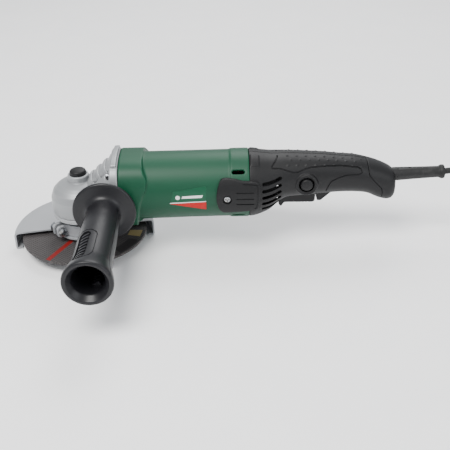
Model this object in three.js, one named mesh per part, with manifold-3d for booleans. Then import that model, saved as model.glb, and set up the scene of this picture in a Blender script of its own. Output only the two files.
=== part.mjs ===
// An angle grinder with a long rear handle, a side handle, a wheel guard and a mains cord.
// Millimetres. While it is built, the spindle axis is the line x = y = 0 and the motor axis is the line
// y = z = 0: +X runs back along the motor to the cord, +Y points away from the side handle and +Z is up.
// The last lines move the whole tool so that the guard's rim stands on z = 0 below the middle of its box.
import * as THREE from "three";
import { ConvexGeometry } from "three/addons/geometries/ConvexGeometry.js";
import { mergeVertices } from "three/addons/utils/BufferGeometryUtils.js";
import Module from "manifold-3d";

const wasm = await Module();
wasm.setup();

// ---------- Driving sizes ----------

const GAP = 0.3; // between pieces that touch
const RUN = 0.6; // between pieces that move past each other
const FINE = 28; // sides of a large round piece
const COARSE = 16; // sides of a small round piece

// Wheel and guard
const DISC_R = 62.5;
const DISC_THICK = 3;
const DISC_TOP = -50.9;
const DISC_BORE_R = 11.1;
const FLANGE_R = 21;
const DISC_TO_GUARD = 8; // from the disc's edge to the outside of the guard
const GUARD_WALL = 1.6;
const GUARD_TOP = -45.6;
const GUARD_HIGH = 18.9;
const GUARD_LIP = 7;
const GUARD_FROM = 8; // degrees, counted from +X
const GUARD_TO = 190.5;
const BAND_WALL = 2;
const BAND_HIGH = 12;
const EAR_ANGLE = 221; // degrees: where the guard's clamp opens
const EAR_GAP = 4;
const EAR_REACH = 9.5; // beyond the band
const CLAMP_BOLT_R = 2.5;

// Gear head
const HEAD_R = 28.5;
const HEAD_WALL = 3.5;
const HEAD_BOTTOM = -24;
const HEAD_TOP = 10;
const FACE_X = 38; // joint between the gear housing and the motor housing
const FLANGE_WIDE = 32.5;
const FLANGE_SQUARE = 3;
const HEAD_FLANGE = 7;
const COVER_THICK = 5;
const NECK_R = 21.2;
const NECK_HIGH = 16.5;
const LOCK_BOSS_R = 10.3;
const LOCK_BOSS_TOP = 13.5;
const LOCK_BUTTON_R = 7.8;
const LOCK_TRAVEL = 4;
const LOCK_PIN = 4.2; // side of the pin's square end
const SCREW_R = 2;
const SCREW_HEAD_R = 3.4;
const SCREW_HEAD_HIGH = 3;
const SCREW_LONG = 22;
const SCREW_SPREAD = 20.5; // housing screws, from the motor axis along Y and along Z

// Drive
const SPINDLE_R = 6;
const SPINDLE_END = -62.6;
const SPINDLE_TOP = 7;
const GEAR_TEETH = 38;
const PINION_TEETH = 12;
const GEAR_PITCH_R = 22;
const TOOTH_HIGH = 1.5;
const TOOTH_BACKLASH = 0.5;
const FACE_WIDTH = 6;
const LOWER_BEARING_R = 16;
const BEARING_WIDE = 7;

// Motor
const BODY_R = 34;
const BODY_REAR_R = 32.4;
const BODY_END = 167;
const BULGE_END = 64;
const SPIGOT_R = 28;
const SPIGOT_LONG = 11;
const SHAFT_R = 4.5;
const CORE_R = 16.5;
const CORE_FROM = 74;
const CORE_LONG = 50;
const AIR_GAP = 0.8;
const STATOR_R = 29.5;
const COMMUTATOR_R = 12;
const COMMUTATOR_BACK = 17; // from the housing's rear end
const COMMUTATOR_LONG = 19;
const BRUSH_BACK = 7.5; // from the housing's rear end
const BRUSH_WIDE = 6.4;
const BRUSH_THICK = 10;
const FRONT_BEARING_R = 13;
const REAR_BEARING_R = 11;
const FAN_R = 23;
const FAN_FROM = 48;
const FAN_LONG = 11;

// Rear handle, its places along X counted from the motor housing's rear end
const HANDLE_WALL = 2.5;
const CAP_TILT = 30; // degrees: slant of the end cap's joint
const CAP_X = 123; // where that joint crosses the handle's middle height
const HANDLE_MID_Z = 8;
const TRIGGER_FRONT = 28.6;
const TRIGGER_REAR = 66.5;
const TRIGGER_WIDE = 12;
const HEEL_TO = 80;
const BUTTON_X = 55;
const BUTTON_Z = 7.5;
const BUTTON_R = 6.2;
const BUTTON_RING_R = 10.4;
const VENTS = 5;
const VENT_X = 21.5;
const VENT_LONG = 16;
const VENT_HIGH = 3.2;
const VENT_PITCH = 7;
const VENT_LOW = -13.4; // height of the lowest vent's middle
const VENT_TILT = 12; // degrees

// Side handle
const SIDE_X = 28.9;
const SIDE_Z = -5.8;
const BOSS_FACE = 38; // from the spindle axis along Y
const BOSS_R = 9;
const STUD_R = 4;
const COLLAR_FACE = 44.2;
const COLLAR_R = 30.2;
const GRIP_END = 161.5;
const GRIP_R = 16;
const GRIP_FLARE_R = 21.9;
const GRIP_BORE_R = 14;
const GRIP_BORE_DEEP = 92;

// Cord and plug
const CORD_R = 3.1;
const RELIEF_FROM = 138; // from the housing's rear end
const RELIEF_TO = 192.4; // from the housing's rear end
const RELIEF_Z = 5.4;
const RELIEF_RISE = 1.9; // degrees
const COIL_X = 488;
const COIL_Y = -20;
const COIL_INNER_R = 29.5; // to the middle of the innermost turn
const COIL_TURN = 6.6; // from turn to turn and from layer to layer
const COIL_COLUMNS = 3;
const COIL_LAYERS = 4;

const FLOOR = GUARD_TOP - GUARD_HIGH;
const STEEL = { color: 0x9a9ca0, roughness: 0.35, metalness: 1 };
const ZINC = { color: 0xc9cbce, roughness: 0.3, metalness: 1 };
const CAST = { color: 0xb2b3b4, roughness: 0.55, metalness: 0.4 };
const GREEN = { color: 0x2a7150, roughness: 0.42, metalness: 0 };
const BLACK = { color: 0x323236, roughness: 0.5, metalness: 0 };
const GRIP = { color: 0x3e3e42, roughness: 0.55, metalness: 0 };
const SHEET = { color: 0xb4b5b8, roughness: 0.5, metalness: 0.6 };
const COPPER = { color: 0xb8683a, roughness: 0.4, metalness: 1 };
const BRASS = { color: 0xb59a4a, roughness: 0.35, metalness: 1 };
const CARBON = { color: 0x2a2a2c, roughness: 0.7, metalness: 0 };
const ABRASIVE = { color: 0x484445, roughness: 0.95, metalness: 0 };
const RUBBER = { color: 0x2c2c2e, roughness: 0.65, metalness: 0 };

// ---------- Solids ----------

const rad = THREE.MathUtils.degToRad;

/** The geometry with shared corners merged, collapsed faces dropped and its faces pointing out. */
function closed(geometry) {
  const bare = geometry.clone();
  for (const name of Object.keys(bare.attributes)) {
    if (name !== "position") bare.deleteAttribute(name);
  }
  const merged = mergeVertices(bare, 1e-4);
  const place = merged.attributes.position;
  const corners = merged.index.array;
  const kept = [];
  let volume = 0;
  const [a, b, c] = [new THREE.Vector3(), new THREE.Vector3(), new THREE.Vector3()];
  for (let i = 0; i < corners.length; i += 3) {
    const [p, q, r] = [corners[i], corners[i + 1], corners[i + 2]];
    if (p === q || q === r || r === p) continue;
    kept.push(p, q, r);
    a.fromBufferAttribute(place, p);
    b.fromBufferAttribute(place, q);
    c.fromBufferAttribute(place, r);
    volume += a.dot(b.cross(c));
  }
  if (volume < 0) kept.reverse();
  merged.setIndex(kept);
  return merged;
}

function toManifold(geometry) {
  const ready = closed(geometry);
  const vertProperties = new Float32Array(ready.attributes.position.array);
  const triVerts = new Uint32Array(ready.index.array);
  return new wasm.Manifold(new wasm.Mesh({ numProp: 3, vertProperties, triVerts }));
}

function toGeometry(manifold) {
  const mesh = manifold.getMesh();
  const geometry = new THREE.BufferGeometry();
  geometry.setAttribute("position", new THREE.BufferAttribute(new Float32Array(mesh.vertProperties), 3));
  geometry.setIndex([...mesh.triVerts]);
  return geometry;
}

function join(...pieces) {
  return toGeometry(pieces.map(toManifold).reduce((whole, piece) => whole.add(piece)));
}

function cut(piece, ...tools) {
  return toGeometry(tools.map(toManifold).reduce((left, tool) => left.subtract(tool), toManifold(piece)));
}

function common(piece, other) {
  return toGeometry(toManifold(piece).intersect(toManifold(other)));
}

// ---------- Shapes ----------

/** Turns a geometry made along +Z so that it runs along another axis. */
function along(axis, geometry) {
  const quarter = Math.PI / 2;
  if (axis === "+X") return geometry.rotateY(quarter);
  if (axis === "-X") return geometry.rotateY(-quarter);
  if (axis === "+Y") return geometry.rotateX(-quarter);
  return geometry.rotateX(quarter); // -Y
}

/** A solid of revolution about Z; the profile holds [radius, height] corners. */
function turned(profile, sides = FINE) {
  const points = profile.map(([r, z]) => new THREE.Vector2(r, z));
  if (profile[0][0] !== 0) points.push(points[0].clone());
  return new THREE.LatheGeometry(points, sides).rotateX(Math.PI / 2);
}

/** A round bar from one height to another. */
function rod(r, from, to, sides = COARSE) {
  return turned([[0, from], [r, from], [r, to], [0, to]], sides);
}

/** A round tube from one height to another. */
function pipe(inner, outer, from, to, sides = FINE) {
  return turned([[inner, from], [outer, from], [outer, to], [inner, to]], sides);
}

/** A block given by its lowest and highest corners. */
function block([x0, y0, z0], [x1, y1, z1]) {
  const box = new THREE.BoxGeometry(x1 - x0, y1 - y0, z1 - z0);
  return box.translate((x0 + x1) / 2, (y0 + y1) / 2, (z0 + z1) / 2);
}

/** A flat outline, given by its corners, raised from one height to another. */
function slab(corners, from, to) {
  const shape = new THREE.Shape(corners.map(([x, y]) => new THREE.Vector2(x, y)));
  return new THREE.ExtrudeGeometry(shape, { depth: to - from, bevelEnabled: false }).translate(0, 0, from);
}

/** Points on an arc about Z, in degrees. */
function arc(r, from, to, steps, z = 0) {
  const points = [];
  for (let i = 0; i <= steps; i++) {
    const angle = rad(from + ((to - from) * i) / steps);
    points.push([r * Math.cos(angle), r * Math.sin(angle), z]);
  }
  return points;
}

/** A point of a station's outline: an ellipse that squares off as its `square` rises above 2. */
function outline({ x, y = 0, z = 0, wide, high, square = 2 }, angle, grow = 0) {
  const [c, s] = [Math.cos(angle), Math.sin(angle)];
  const across = Math.sign(c) * Math.abs(c) ** (2 / square) * (wide + grow);
  const up = Math.sign(s) * Math.abs(s) ** (2 / square) * (high + grow);
  return [x, y + across, z + up];
}

/** A skin along X: an extruded circle whose rings are moved out to the stations' outlines. */
function skin(stations, { sides = FINE, grow = 0 } = {}) {
  const steps = stations.length - 1;
  const circle = new THREE.Shape().absarc(0, 0, 1, 0, 2 * Math.PI);
  const section = new THREE.Shape(circle.getSpacedPoints(sides).slice(0, sides));
  const geometry = new THREE.ExtrudeGeometry(section, { depth: steps, steps, bevelEnabled: false });
  const place = geometry.attributes.position;
  for (let i = 0; i < place.count; i++) {
    const angle = Math.atan2(place.getY(i), place.getX(i));
    place.setXYZ(i, ...outline(stations[Math.round(place.getZ(i))], angle, grow));
  }
  return geometry;
}

/** The convex solid around some points. */
function hull(points) {
  return new ConvexGeometry(points.map(([x, y, z]) => new THREE.Vector3(x, y, z)));
}

/** A helical spring along Z. */
function spring(r, wire, from, to, turns) {
  class Helix extends THREE.Curve {
    getPoint(t, target = new THREE.Vector3()) {
      const angle = 2 * Math.PI * turns * t;
      return target.set(r * Math.cos(angle), r * Math.sin(angle), from + wire + (to - from - 2 * wire) * t);
    }
  }
  const section = new THREE.Shape().absarc(0, 0, wire, 0, 2 * Math.PI);
  const steps = Math.round(9 * turns);
  return new THREE.ExtrudeGeometry(section, { steps, extrudePath: new Helix(), curveSegments: 2 });
}

/** A ball bearing about Z: two races joined by a recessed shield. */
function bearing(inner, outer, from, wide) {
  const race = (outer - inner) * 0.28;
  const dip = 0.7;
  return turned(
    [
      [inner, from], [inner + race, from], [inner + race, from + dip], [outer - race, from + dip],
      [outer - race, from], [outer, from], [outer, from + wide], [outer - race, from + wide],
      [outer - race, from + wide - dip], [inner + race, from + wide - dip], [inner + race, from + wide],
      [inner, from + wide],
    ],
    COARSE,
  );
}

/** A screw along Z, its head's top at `top`, with a cross recess. */
function screw(r, headR, headHigh, top, tip) {
  const under = top - headHigh;
  const body = turned([[0, tip], [r, tip], [r, under], [headR, under], [headR, top], [0, top]], 12);
  const slot = headR * 0.62;
  const depth = headHigh * 0.5;
  const width = headR * 0.14;
  return cut(
    body,
    block([-slot, -width, top - depth], [slot, width, top + 1]),
    block([-width, -slot, top - depth], [width, slot, top + 1]),
  );
}

// ---------- The scene graph ----------

const tool = new THREE.Group();
const tray = new THREE.Group();
tool.add(tray);

function add(name, geometry, look) {
  const ready = closed(geometry);
  ready.computeVertexNormals();
  const mesh = new THREE.Mesh(ready, new THREE.MeshStandardMaterial(look));
  mesh.name = name;
  tray.add(mesh);
  return mesh;
}

/** The same piece on both sides of the tool's middle plane. */
function addPair(name, geometry, look) {
  add(`${name}_left`, geometry, look);
  add(`${name}_right`, geometry.clone().scale(1, -1, 1), look);
}

// ---------- Gear head ----------

const coverTop = HEAD_BOTTOM - GAP;
const coverBottom = coverTop - COVER_THICK;
const neckBottom = coverBottom - NECK_HIGH;
const flangeFrom = FACE_X - HEAD_FLANGE;
const bushR = 9.5;
const bushFrom = -2.5;
const bushTo = 4.5;
const springSeat = 8.5;
const buttonUnder = springSeat + LOCK_TRAVEL + RUN;
const screwSeat = FACE_X - 5;
const bearingPlateR = 24;
const screwPlaces = [
  [-SCREW_SPREAD, SCREW_SPREAD],
  [SCREW_SPREAD, SCREW_SPREAD],
  [-SCREW_SPREAD, -SCREW_SPREAD],
  [SCREW_SPREAD, -SCREW_SPREAD],
];

/** The solid outside of the gear housing: a pot for the bevel gear, a throat and the flange to the motor. */
function headOutside() {
  const pot = turned([
    [0, HEAD_BOTTOM], [HEAD_R, HEAD_BOTTOM], [HEAD_R, -8], [HEAD_R - 2.5, -1], [HEAD_R - 9, 6],
    [LOCK_BOSS_R + 3, HEAD_TOP], [LOCK_BOSS_R, HEAD_TOP], [LOCK_BOSS_R, LOCK_BOSS_TOP], [0, LOCK_BOSS_TOP],
  ]);
  const ring = (x, wide, high, z, square) =>
    arc(1, 0, 360, 32).map(([c, s]) => outline({ x, z, wide, high, square }, Math.atan2(s, c)));
  const rear = ring(flangeFrom, FLANGE_WIDE - 1.5, FLANGE_WIDE - 1.5, 0, FLANGE_SQUARE);
  const throat = hull([...rear, ...ring(10, 14, 13, -4, 2)]);
  const sides = hull([
    ...rear.filter((point) => point[2] < 4),
    ...arc(HEAD_R - 0.4, 0, 360, 24, HEAD_BOTTOM),
    ...arc(HEAD_R - 2.8, 0, 360, 24, -2),
  ]);
  const edge = { wide: FLANGE_WIDE, high: FLANGE_WIDE, square: FLANGE_SQUARE };
  const flange = skin([{ x: flangeFrom - 0.5, ...edge }, { x: FACE_X, ...edge }]);
  const tab = block([flangeFrom + 2, -7, FLANGE_WIDE - 3], [FACE_X - 1.5, 7, FLANGE_WIDE + 2]);
  const boss = along("+Y", rod(BOSS_R, -BOSS_FACE, BOSS_FACE)).translate(SIDE_X, 0, SIDE_Z);
  return join(pot, throat, sides, flange, tab, boss);
}

function gearHousing() {
  const cavityR = HEAD_R - HEAD_WALL;
  const cavity = turned([[0, HEAD_BOTTOM - 1], [cavityR, HEAD_BOTTOM - 1], [cavityR, -4], [15, -1], [0, -1]]);
  const bushSeat = rod(bushR + GAP, -2, bushTo + GAP);
  const pinHole = rod(SPINDLE_R + RUN / 2, 0, springSeat + 1);
  const buttonHole = rod(LOCK_BUTTON_R + RUN, springSeat, LOCK_BOSS_TOP + 1);
  const tunnel = along("+X", rod(FRONT_BEARING_R + GAP, 14, FACE_X + 1, FINE));
  const platePocket = along("+X", rod(bearingPlateR + GAP, screwSeat, FACE_X + 1, FINE));
  const studHole = along("+Y", rod(STUD_R + GAP, -BOSS_FACE - 1, BOSS_FACE + 1)).translate(SIDE_X, 0, SIDE_Z);
  const screwHole = join(rod(SCREW_R + GAP, 0, FACE_X + 1, 12), rod(SCREW_HEAD_R + GAP, 12, screwSeat, 12));
  const screwHoles = screwPlaces.map(([y, z]) => along("+X", screwHole.clone()).translate(0, y, z));
  const coverSpace = rod(HEAD_R, HEAD_BOTTOM - 40, HEAD_BOTTOM, FINE);
  const inside = [cavity, bushSeat, pinHole, buttonHole, tunnel, platePocket, studHole];
  return cut(headOutside(), coverSpace, ...inside, ...screwHoles);
}

function housingScrew([y, z]) {
  const headTop = screwSeat - GAP - SCREW_HEAD_HIGH;
  const whole = screw(SCREW_R, SCREW_HEAD_R, SCREW_HEAD_HIGH, 0, -SCREW_LONG);
  return along("-X", whole).translate(headTop, y, z);
}

/** The cover closes the pot from below, seats the spindle's bearing and carries the guard on its neck. */
function gearboxCover() {
  const bore = SPINDLE_R + RUN;
  const seatR = LOWER_BEARING_R + GAP;
  const seatFloor = coverTop - BEARING_WIDE - GAP;
  return turned([
    [bore, neckBottom], [NECK_R, neckBottom], [NECK_R, coverBottom], [HEAD_R - 0.4, coverBottom],
    [HEAD_R - 0.4, coverTop], [seatR, coverTop], [seatR, seatFloor], [bore, seatFloor],
  ]);
}

/** The button's square pin drops into the square socket in the end of the spindle. */
function lockButton() {
  const cap = turned(
    [
      [0, buttonUnder], [LOCK_BUTTON_R, buttonUnder], [LOCK_BUTTON_R, LOCK_BOSS_TOP + 2.4],
      [LOCK_BUTTON_R - 1.6, LOCK_BOSS_TOP + 4.1], [LOCK_BUTTON_R - 4.2, LOCK_BOSS_TOP + 5],
      [0, LOCK_BOSS_TOP + 5.3],
    ],
    COARSE,
  );
  const half = LOCK_PIN / 2;
  return join(cap, block([-half, -half, SPINDLE_TOP + RUN], [half, half, buttonUnder + 1]));
}

add("gear_housing", gearHousing(), CAST);
add("gearbox_cover", gearboxCover(), CAST);
screwPlaces.forEach((place, i) => add(`housing_screw_${i + 1}`, housingScrew(place), ZINC));
add("spindle_lock_button", lockButton(), BLACK);
add("spindle_lock_spring", spring(LOCK_BUTTON_R - 0.7, 0.4, springSeat + GAP, buttonUnder - GAP, 3), STEEL);

// ---------- Drive ----------

// The pitch cones of the bevel gear and its pinion share an apex where the two axes cross.
const pinionPitchR = (GEAR_PITCH_R * PINION_TEETH) / GEAR_TEETH;
const toothHalf = (Math.PI * GEAR_PITCH_R) / GEAR_TEETH / 2 - TOOTH_BACKLASH / 2;
const innerShare = (GEAR_PITCH_R - FACE_WIDTH) / GEAR_PITCH_R;
const tipHalf = toothHalf * 0.5;
const rootHalf = toothHalf * 1.4;
const addendum = TOOTH_HIGH * 0.7;

/** A tooth given by its section at the large end, drawn in towards the apex at the origin. */
function tooth(section) {
  return hull(section.flatMap((corner) => [corner, corner.map((value) => value * innerShare)]));
}

function bevelGear() {
  const rootZ = -pinionPitchR - TOOTH_HIGH;
  const blank = turned([
    [SPINDLE_R + GAP, coverTop + 1], [SPINDLE_R + 3, coverTop + 1], [SPINDLE_R + 5, rootZ - 6],
    [GEAR_PITCH_R - 1, rootZ - 4.5], [GEAR_PITCH_R + 0.9, rootZ - 3], [GEAR_PITCH_R + 0.9, rootZ],
    [GEAR_PITCH_R, rootZ], [GEAR_PITCH_R * innerShare, rootZ * innerShare],
    [SPINDLE_R + 4, rootZ * innerShare], [SPINDLE_R + 4, bushFrom - 1.5], [SPINDLE_R + GAP, bushFrom - 1.5],
  ]);
  const section = [
    [GEAR_PITCH_R, -rootHalf, rootZ - 0.4], [GEAR_PITCH_R, rootHalf, rootZ - 0.4],
    [GEAR_PITCH_R, -tipHalf, -pinionPitchR + addendum], [GEAR_PITCH_R, tipHalf, -pinionPitchR + addendum],
  ];
  const teeth = [];
  for (let i = 0; i < GEAR_TEETH; i++) teeth.push(tooth(section).rotateZ((2 * Math.PI * i) / GEAR_TEETH));
  return join(blank, ...teeth);
}

function pinion() {
  const rootR = pinionPitchR - TOOTH_HIGH;
  const inner = GEAR_PITCH_R * innerShare;
  const blank = turned(
    [
      [SHAFT_R - 1 + GAP, inner], [rootR * innerShare, inner], [rootR, GEAR_PITCH_R],
      [rootR, GEAR_PITCH_R + 2.5], [SHAFT_R - 1 + GAP, GEAR_PITCH_R + 2.5],
    ],
    COARSE,
  );
  const section = [
    [-rootR + 0.5, -rootHalf, GEAR_PITCH_R], [-rootR + 0.5, rootHalf, GEAR_PITCH_R],
    [-pinionPitchR - addendum, -tipHalf, GEAR_PITCH_R], [-pinionPitchR - addendum, tipHalf, GEAR_PITCH_R],
  ];
  const teeth = [];
  for (let i = 0; i < PINION_TEETH; i++) {
    teeth.push(tooth(section).rotateZ((2 * Math.PI * (i + 0.5)) / PINION_TEETH));
  }
  return along("+X", join(blank, ...teeth));
}

function spindle() {
  const neckR = SPINDLE_R - 0.6;
  const bar = turned(
    [
      [0, SPINDLE_END], [SPINDLE_R - 1, SPINDLE_END], [SPINDLE_R, SPINDLE_END + 1], [SPINDLE_R, bushFrom - 1],
      [neckR, bushFrom - 1], [neckR, SPINDLE_TOP], [0, SPINDLE_TOP],
    ],
    COARSE,
  );
  const half = LOCK_PIN / 2 + GAP;
  const socketFloor = SPINDLE_TOP + RUN - LOCK_TRAVEL - RUN;
  return cut(bar, block([-half, -half, socketFloor], [half, half, SPINDLE_TOP + 1]));
}

add("spindle", spindle(), STEEL);
add("bevel_gear", bevelGear(), STEEL);
add("pinion", pinion(), STEEL);
add("spindle_upper_bush", pipe(SPINDLE_R - GAP, bushR, bushFrom, bushTo, COARSE), BRASS);
add(
  "spindle_lower_bearing",
  bearing(SPINDLE_R + GAP, LOWER_BEARING_R, coverTop - BEARING_WIDE, BEARING_WIDE - GAP),
  STEEL,
);

// ---------- Motor ----------

const coreTo = CORE_FROM + CORE_LONG;
const frontBearingFrom = FACE_X - GAP - BEARING_WIDE;
const commutatorFrom = BODY_END - COMMUTATOR_BACK;
const brushX = BODY_END - BRUSH_BACK;
const spiderFrom = BODY_END + 3;
const spiderTo = spiderFrom + 2.5;
const rearBearingTo = spiderTo + GAP + BEARING_WIDE;

/** A round piece about the motor axis. */
function onMotorAxis(geometry) {
  return along("+X", geometry);
}

function armatureShaft() {
  const nose = SHAFT_R - 1;
  return onMotorAxis(turned(
    [
      [0, GEAR_PITCH_R * innerShare + 0.5], [nose, GEAR_PITCH_R * innerShare + 0.5],
      [nose, GEAR_PITCH_R + 3], [SHAFT_R, GEAR_PITCH_R + 3], [SHAFT_R, rearBearingTo - 0.5],
      [0, rearBearingTo - 0.5],
    ],
    COARSE,
  ));
}

/** A stack of laminations with slots for the wire. */
function armatureCore() {
  const slots = 12;
  const points = [];
  for (let i = 0; i < slots; i++) {
    const at = (r, degrees) => {
      const angle = rad((360 / slots) * i + degrees);
      return [r * Math.cos(angle), r * Math.sin(angle)];
    };
    points.push(at(CORE_R, -11), at(CORE_R, 0), at(CORE_R, 11), at(CORE_R - 5, 11.5), at(CORE_R - 5, 18.5));
  }
  const stack = slab(points, CORE_FROM, coreTo);
  return onMotorAxis(cut(stack, rod(SHAFT_R + GAP, CORE_FROM - 1, coreTo + 1)));
}

function endWinding(from, to, r) {
  const inner = SHAFT_R + 2;
  const round = (to - from) * 0.3;
  return onMotorAxis(turned(
    [
      [inner, from], [r - round, from], [r, from + round], [r, to - round], [r - round, to], [inner, to],
    ],
    COARSE,
  ));
}

function commutator() {
  const ring = pipe(SHAFT_R + GAP, COMMUTATOR_R, commutatorFrom, commutatorFrom + COMMUTATOR_LONG, COARSE);
  const riser = pipe(SHAFT_R + GAP, COMMUTATOR_R + 2.5, commutatorFrom, commutatorFrom + 2.5, COARSE);
  return onMotorAxis(join(ring, riser));
}

/** A centrifugal fan: a back plate with curved blades. */
function fan() {
  const blades = 12;
  const plate = turned([
    [SHAFT_R + GAP, FAN_FROM], [9, FAN_FROM], [FAN_R, FAN_FROM + 1], [FAN_R, FAN_FROM + 2.5],
    [9, FAN_FROM + 3], [9, FAN_FROM + FAN_LONG], [SHAFT_R + GAP, FAN_FROM + FAN_LONG],
  ]);
  const parts = [];
  for (let i = 0; i < blades; i++) {
    const turn = (2 * Math.PI * i) / blades;
    const blade = slab([[8.5, -0.7], [16, 0.6], [FAN_R - 0.5, 4.6], [FAN_R - 1, 6], [16, 2], [8.5, 0.7]],
      FAN_FROM + 1.8, FAN_FROM + FAN_LONG);
    parts.push(blade.rotateZ(turn));
  }
  return onMotorAxis(join(plate, ...parts));
}

/** The stator's ring has two poles that reach in to the armature. */
function statorCore() {
  const yoke = pipe(STATOR_R - 5, STATOR_R, CORE_FROM - 2, coreTo + 2, FINE);
  const pole = block([-8, 0, CORE_FROM - 2], [8, STATOR_R - 2, coreTo + 2]);
  const shoe = common(
    pipe(CORE_R + AIR_GAP, CORE_R + AIR_GAP + 2.2, CORE_FROM - 2, coreTo + 2, FINE),
    slab([[0, 0], [24, 26], [0, 40], [-24, 26]], CORE_FROM - 3, coreTo + 3),
  );
  const bore = rod(CORE_R + AIR_GAP, CORE_FROM - 3, coreTo + 3, FINE);
  const poles = [0, Math.PI].flatMap((turn) => [pole.clone().rotateZ(turn), shoe.clone().rotateZ(turn)]);
  return onMotorAxis(cut(join(yoke, ...poles), bore)).rotateX(Math.PI / 2);
}

/** A racetrack coil around one pole. */
function fieldCoil(side) {
  const [low, high] = [CORE_R + AIR_GAP + 2.2 + GAP, STATOR_R - 5.6];
  const middle = (CORE_FROM + coreTo) / 2;
  const inner = { x: CORE_LONG / 2 + 2 + GAP, y: 8 + GAP };
  const outer = { x: inner.x + 4, y: inner.y + 3.2 };
  const loop = cut(
    block([middle - outer.x, -outer.y, low], [middle + outer.x, outer.y, high]),
    block([middle - inner.x, -inner.y, low - 1], [middle + inner.x, inner.y, high + 1]),
  );
  const clear = common(loop, onMotorAxis(rod(STATOR_R - 5 - GAP, 0, BODY_END, FINE)));
  return clear.rotateX(side * Math.PI / 2 + Math.PI / 2);
}

add("armature_shaft", armatureShaft(), STEEL);
add("armature_core", armatureCore(), STEEL);
add("armature_winding_front", endWinding(CORE_FROM - 11, CORE_FROM - GAP, CORE_R - 2.5), COPPER);
add("armature_winding_rear", endWinding(coreTo + GAP, coreTo + 14, CORE_R - 2.5), COPPER);
add("commutator", commutator(), COPPER);
add("cooling_fan", fan(), BLACK);
add(
  "front_armature_bearing",
  onMotorAxis(bearing(SHAFT_R + GAP, FRONT_BEARING_R, frontBearingFrom, BEARING_WIDE)),
  STEEL,
);
add(
  "rear_armature_bearing",
  onMotorAxis(bearing(SHAFT_R + GAP, REAR_BEARING_R, spiderTo + GAP, BEARING_WIDE)),
  STEEL,
);
add(
  "front_bearing_plate",
  onMotorAxis(pipe(FRONT_BEARING_R + GAP, bearingPlateR, screwSeat + GAP, FACE_X - GAP)),
  CAST,
);
add("stator_core", statorCore(), STEEL);
add("field_coil_left", fieldCoil(0), COPPER);
add("field_coil_right", fieldCoil(2), COPPER);

// ---------- Motor housing ----------

const cavityR = STATOR_R + GAP;
const collarFrom = BODY_END - 17.5;
const coverScrewX = BODY_END - 21.6;

function motorHousing() {
  const bulge = { z: -3.4, wide: 33.8, high: 34, square: 3 };
  const outside = skin([
    { x: FACE_X + GAP, ...bulge }, { x: BULGE_END - 1, ...bulge },
    { x: BULGE_END + 3, wide: BODY_R, high: BODY_R },
    { x: (BULGE_END + BODY_END) / 2, wide: BODY_R - 0.5, high: BODY_R - 0.5 },
    { x: collarFrom - 0.4, wide: BODY_REAR_R, high: BODY_REAR_R },
    { x: collarFrom, wide: BODY_REAR_R + 0.7, high: BODY_REAR_R + 0.7 },
    { x: BODY_END, wide: BODY_REAR_R + 0.7, high: BODY_REAR_R + 0.7 },
  ]);
  const spigot = onMotorAxis(rod(SPIGOT_R, BODY_END - 1, BODY_END + SPIGOT_LONG, FINE));
  const hollow = onMotorAxis(turned([
    [0, FACE_X - 1], [cavityR, FACE_X - 1], [cavityR, BODY_END - 4], [SPIGOT_R - 2.5, BODY_END - 1],
    [SPIGOT_R - 2.5, spiderFrom], [0, spiderFrom],
  ]));
  const rear = onMotorAxis(rod(SPIGOT_R - 2.5, spiderTo, BODY_END + SPIGOT_LONG + 1, FINE));
  const seat = onMotorAxis(rod(REAR_BEARING_R + 3, spiderTo - 1, rearBearingTo, FINE));
  const seatBore = onMotorAxis(rod(REAR_BEARING_R + GAP, spiderTo, rearBearingTo + 1, FINE));
  const shaftHole = onMotorAxis(rod(SHAFT_R + RUN, spiderFrom - 1, spiderTo + 1));
  const airHoles = arc(19.5, 0, 300, 5).map(([y, z]) =>
    onMotorAxis(rod(4, spiderFrom - 1, spiderTo + 1, 12)).translate(0, y, z));
  const bosses = screwPlaces.map(([y, z]) =>
    onMotorAxis(rod(SCREW_R + 2.6, FACE_X + GAP, screwSeat + SCREW_LONG, 12)).translate(0, y, z));
  const screwHoles = screwPlaces.map(([y, z]) =>
    onMotorAxis(rod(SCREW_R + GAP, FACE_X, screwSeat + SCREW_LONG - 1.5, 12)).translate(0, y, z));
  const coverBoss = along("+Y", rod(5, -BODY_REAR_R + 1, BODY_REAR_R - 1)).translate(coverScrewX, 0, 0);
  const coverBossBore = along("+Y", rod(7, -23, 23)).translate(coverScrewX, 0, 0);
  const coverHole = along("+Y", rod(SCREW_R + GAP, -40, 40, 12)).translate(coverScrewX, 0, 0);
  const window = block([brushX - 6, -40, -8], [brushX + 6, 40, 8]);
  const slots = [1, -1].flatMap((side) => [44, -44].map((tilt) =>
    block([collarFrom + 1, STATOR_R - 4, -2.2], [collarFrom + 13.5, 40, 2.2])
      .rotateX(rad(tilt)).scale(1, side, 1)));
  const core = cut(join(cut(outside, hollow), spigot), hollow, rear);
  const braced = join(core, seat, ...bosses, cut(coverBoss, coverBossBore, coverBossCore()));
  return cut(braced, seatBore, shaftHole, ...airHoles, ...screwHoles, coverHole, window, ...slots);
}

/** The middle of the motor that the brush covers' bosses stay out of. */
function coverBossCore() {
  return onMotorAxis(rod(COMMUTATOR_R + 6, coverScrewX - 10, coverScrewX + 10));
}

function brushHolder() {
  const [wide, thick] = [BRUSH_WIDE / 2 + GAP, BRUSH_THICK / 2 + GAP];
  const wall = 1;
  const [near, far] = [COMMUTATOR_R + 1, BODY_REAR_R - 0.5];
  return cut(
    block([brushX - wide - wall, -far, -thick - wall], [brushX + wide + wall, -near, thick + wall]),
    block([brushX - wide, -far - 1, -thick], [brushX + wide, -near + 1, thick]),
  );
}

function brush() {
  const near = COMMUTATOR_R + GAP;
  return block(
    [brushX - BRUSH_WIDE / 2, -near - 11, -BRUSH_THICK / 2],
    [brushX + BRUSH_WIDE / 2, -near, BRUSH_THICK / 2],
  );
}

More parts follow.
